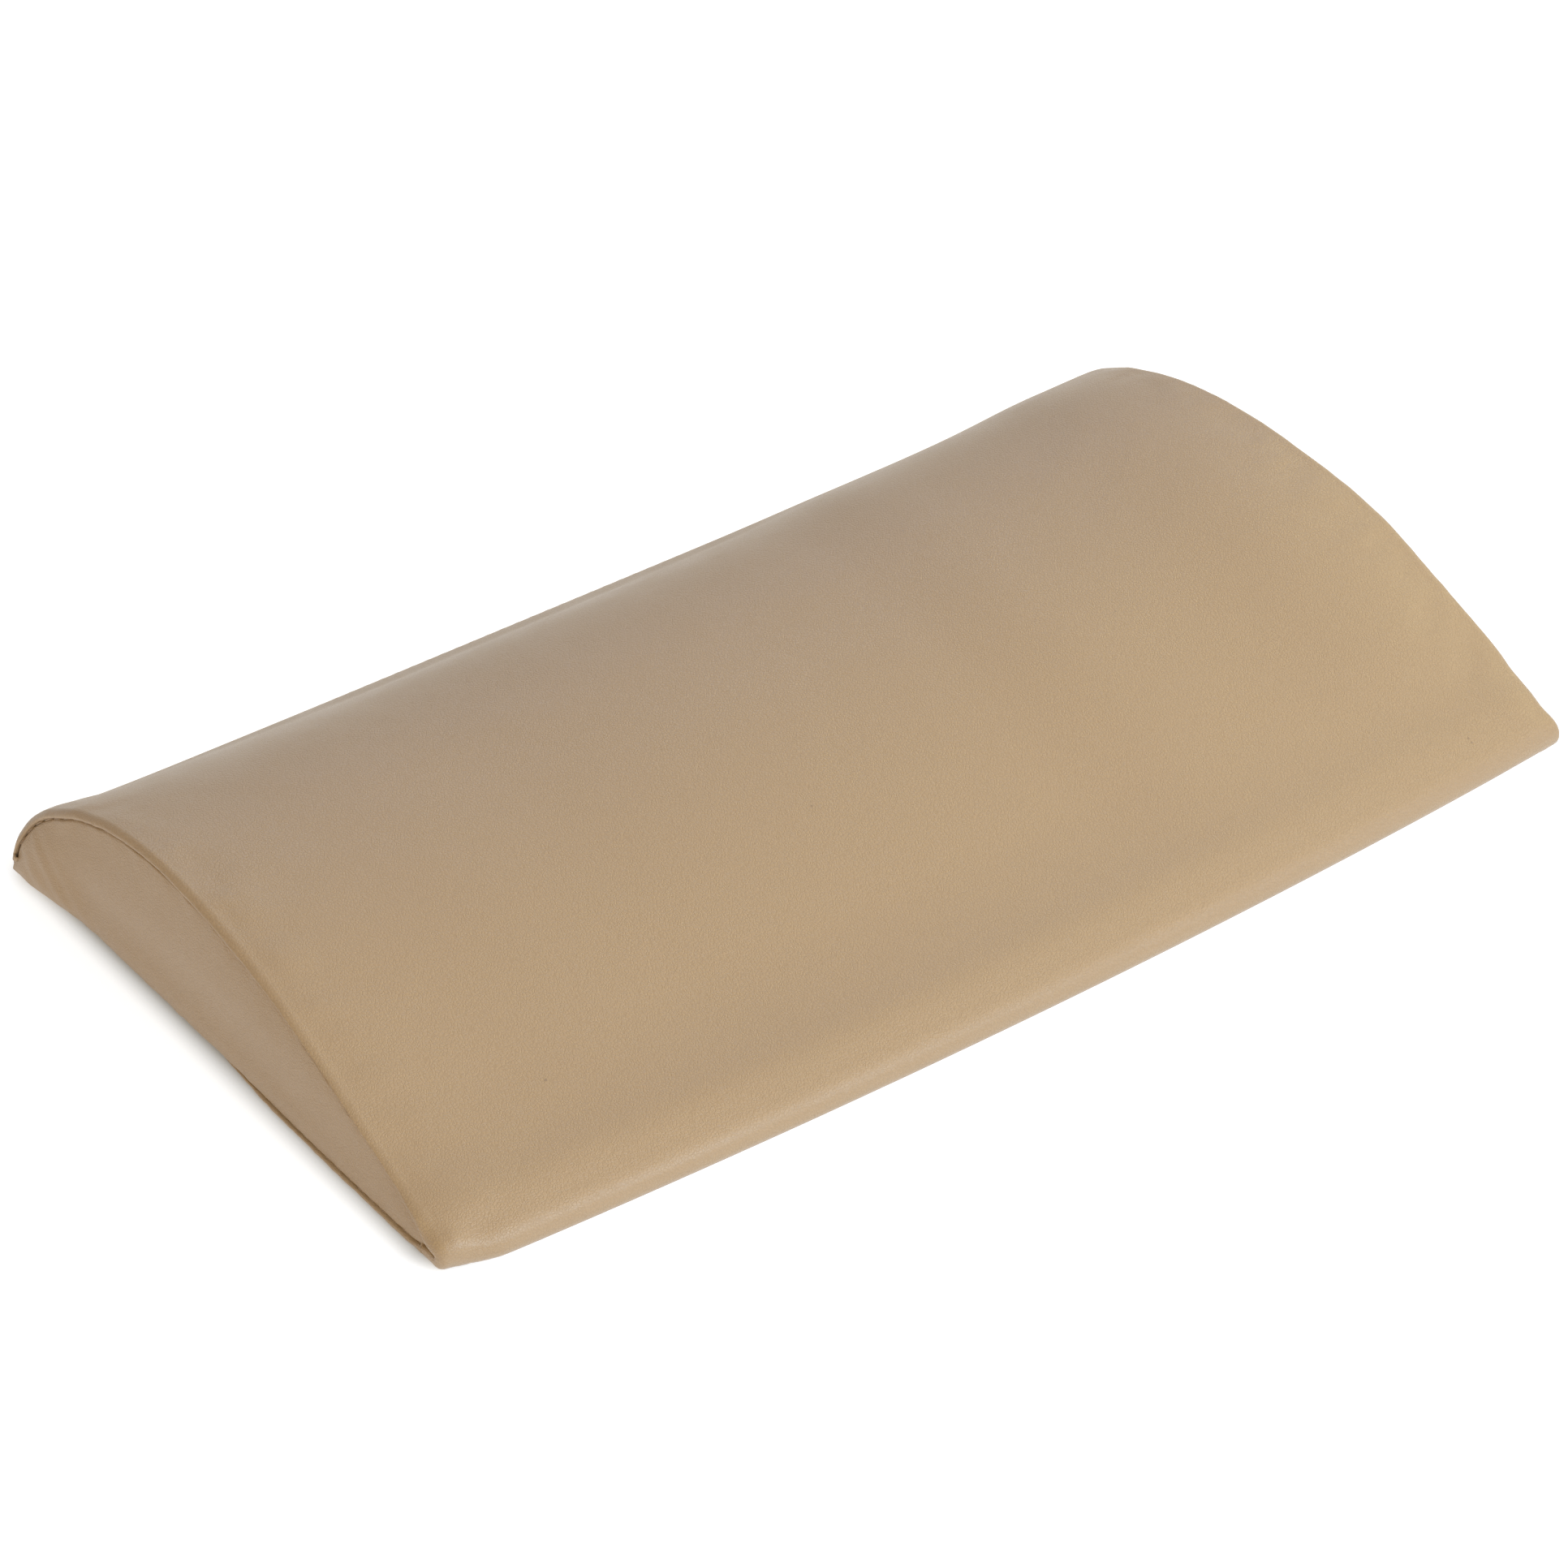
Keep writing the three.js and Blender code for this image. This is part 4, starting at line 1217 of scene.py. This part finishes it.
panels = (
    (top, "cover_top_panel"),
    (bottom, "cover_bottom_panel"),
    (gusset_left, "cover_end_panel_left"),
    (gusset_right, "cover_end_panel_right"),
)
threads = (
    (arch_left, "seam_thread_arch_left"),
    (arch_right, "seam_thread_arch_right"),
    (base_left, "seam_thread_base_left"),
    (base_right, "seam_thread_base_right"),
    (front_seam, "seam_thread_front"),
    (edge_upper, "edge_stitch_upper"),
    (edge_lower, "edge_stitch_lower"),
)
stops = (
    (stop_top_upper, "zip_top_stop_upper"),
    (stop_top_lower, "zip_top_stop_lower"),
    (stop_bottom, "zip_bottom_stop"),
)
metal = metal_material()
hand_over(leatherette_material(), panels)
hand_over(foam_material(), [(foam, "foam_core")])
hand_over(wadding_material(), [(wadding, "wadding_wrap")])
hand_over(thread_material(), threads)
tapes = [(tape_upper, "zip_tape_upper"), (tape_lower, "zip_tape_lower")]
hand_over(tape_material(), tapes)
coils = [(coil_upper, "zip_coil_upper"), (coil_lower, "zip_coil_lower")]
hand_over(coil_material(), coils)
hand_over(metal, stops)
hand_over(metal, [(slider, "zip_slider_body")], "slider")
hand_over(metal, [(pull, "zip_pull_tab")], "pull")

# ---- floor, light and camera ----
CAMERA_AZIMUTH = math.radians(-36.72)
CAMERA_ELEVATION = math.radians(37.18)
CAMERA_DISTANCE = 1.3386
CAMERA_TARGET = Vector((0, 0.45, 0)) * MM
FOCAL_LENGTH = 123.8
CAMERA_SHIFT = (-0.01527, 0.01517)

FLOOR_GLOW = 0.75  # painted light: the floor glows, so that it stays white close to the object
GLOW_STARTS = -5.8 * MM  # past the object's footprint
GLOW_IS_FULL = 4.5 * MM
GLOW_CORNER = 9 * MM  # radius of the corners of the patch round the footprint where the glow is missing, a painted contact shadow
UNDER_NOSE = 6 * MM  # the glow reaches this far under the front edge


def floor_material():
    """Pale studio floor that glows as painted light, except close round where the object stands, so
    that the missing glow paints its contact shadow.
    """
    n = Nodes("floor")
    n.set(Base_Color=(0.44, 0.45, 0.47, 1), Roughness=0.9, Specular_IOR_Level=0.1)
    split = n.add("ShaderNodeSeparateXYZ")
    n.link(n.place, split.inputs[0])
    x, y = split.outputs["X"], split.outputs["Y"]
    # how far a point lies outside a rectangle with rounded corners and a bowed front
    past_end = n.math("SUBTRACT", n.math("ABSOLUTE", x), HALF_LENGTH)
    bowed_in = n.math("MULTIPLY", n.math("MULTIPLY", x, x), FRONT_CORNER_PULL_IN / HALF_LENGTH**2)
    past_front = n.math("SUBTRACT", n.math("ADD", bowed_in, FRONT_Y + UNDER_NOSE), y)
    past_back = n.math("SUBTRACT", y, BACK_Y)
    past_side = n.math("MAXIMUM", past_front, past_back)
    past_end = n.math("MAXIMUM", n.math("ADD", past_end, GLOW_CORNER), 0.0)
    past_side = n.math("MAXIMUM", n.math("ADD", past_side, GLOW_CORNER), 0.0)
    squares = n.math("ADD", n.math("POWER", past_end, 2.0), n.math("POWER", past_side, 2.0))
    away = n.math("SUBTRACT", n.math("SQRT", squares), GLOW_CORNER)
    # painted shadow: the glow fades out towards the footprint, darkening the floor beside the object as
    # a contact shadow
    glow = n.add("ShaderNodeMapRange", interpolation_type="SMOOTHSTEP")
    n.link(away, glow.inputs["Value"])
    glow.inputs["From Min"].default_value = GLOW_STARTS
    glow.inputs["From Max"].default_value = GLOW_IS_FULL
    glow.inputs["To Max"].default_value = FLOOR_GLOW
    n.set(Emission_Color=(1, 1, 1, 1), Emission_Strength=glow.outputs["Result"])
    return n.material


def add_floor():
    bpy.ops.mesh.primitive_plane_add(size=12, location=(0, 0, -0.1 * MM))
    floor = bpy.context.object
    floor.name = "floor"
    floor.data.materials.append(floor_material())


def aim(thing, target):
    """Turns a light or a camera towards the target."""
    thing.rotation_euler = (target - thing.location).to_track_quat("-Z", "Y").to_euler()


def add_area_light(name, location, target, size, power, colour):
    light = bpy.data.lights.new(name, "AREA")
    light.shape = "RECTANGLE"
    light.size, light.size_y = size
    light.energy = power
    light.color = colour
    lamp = bpy.data.objects.new(name, light)
    bpy.context.scene.collection.objects.link(lamp)
    lamp.location = location
    aim(lamp, Vector(target))


def add_camera():
    camera = bpy.data.cameras.new("camera")
    camera.lens = FOCAL_LENGTH
    camera.sensor_width = 36
    camera.clip_start = 0.05
    camera.shift_x, camera.shift_y = CAMERA_SHIFT
    holder = bpy.data.objects.new("camera", camera)
    bpy.context.scene.collection.objects.link(holder)
    level = math.cos(CAMERA_ELEVATION)
    sideways = math.sin(CAMERA_AZIMUTH) * level
    forward = -math.cos(CAMERA_AZIMUTH) * level
    back = Vector((sideways, forward, math.sin(CAMERA_ELEVATION)))
    holder.location = CAMERA_TARGET + back * CAMERA_DISTANCE
    aim(holder, CAMERA_TARGET)
    bpy.context.scene.camera = holder


def set_world(colour, strength):
    world = bpy.data.worlds.new("studio")
    world.use_nodes = True
    background = world.node_tree.nodes["Background"]
    background.inputs["Color"].default_value = (*colour, 1)
    background.inputs["Strength"].default_value = strength
    bpy.context.scene.world = world


add_floor()
set_world((1.0, 0.96, 0.92), 0.27)
CENTRE = (0, 0, 0)
# name, place, what it points at, width and height, watts, colour
LIGHTS = (
    ("front", (0.1, -1.5, 0.9), CENTRE, (1.6, 0.8), 29.0, (0.71, 0.86, 1.0)),
    ("high", (0.5, -0.8, 1.5), CENTRE, (1.2, 1.0), 10.2, (1.0, 0.88, 0.78)),
    ("right", (1.5, 0.1, 0.9), CENTRE, (1.4, 0.9), 12.7, (1.0, 0.89, 0.52)),
    ("left", (-1.4, -0.5, 0.8), CENTRE, (1.2, 0.8), 7.4, (1.0, 0.70, 0.18)),
    ("rim", (-0.85, 0.75, 1.0), (-0.1, 0, 0), (0.5, 0.4), 0.3, (1.0, 0.95, 0.90)),
    ("back", (0.9, 1.3, 1.1), CENTRE, (1.6, 1.2), 9.8, (0.46, 0.67, 1.0)),
)
for light in LIGHTS:
    add_area_light(*light)
add_camera()
bpy.context.scene.view_settings.view_transform = "Standard"
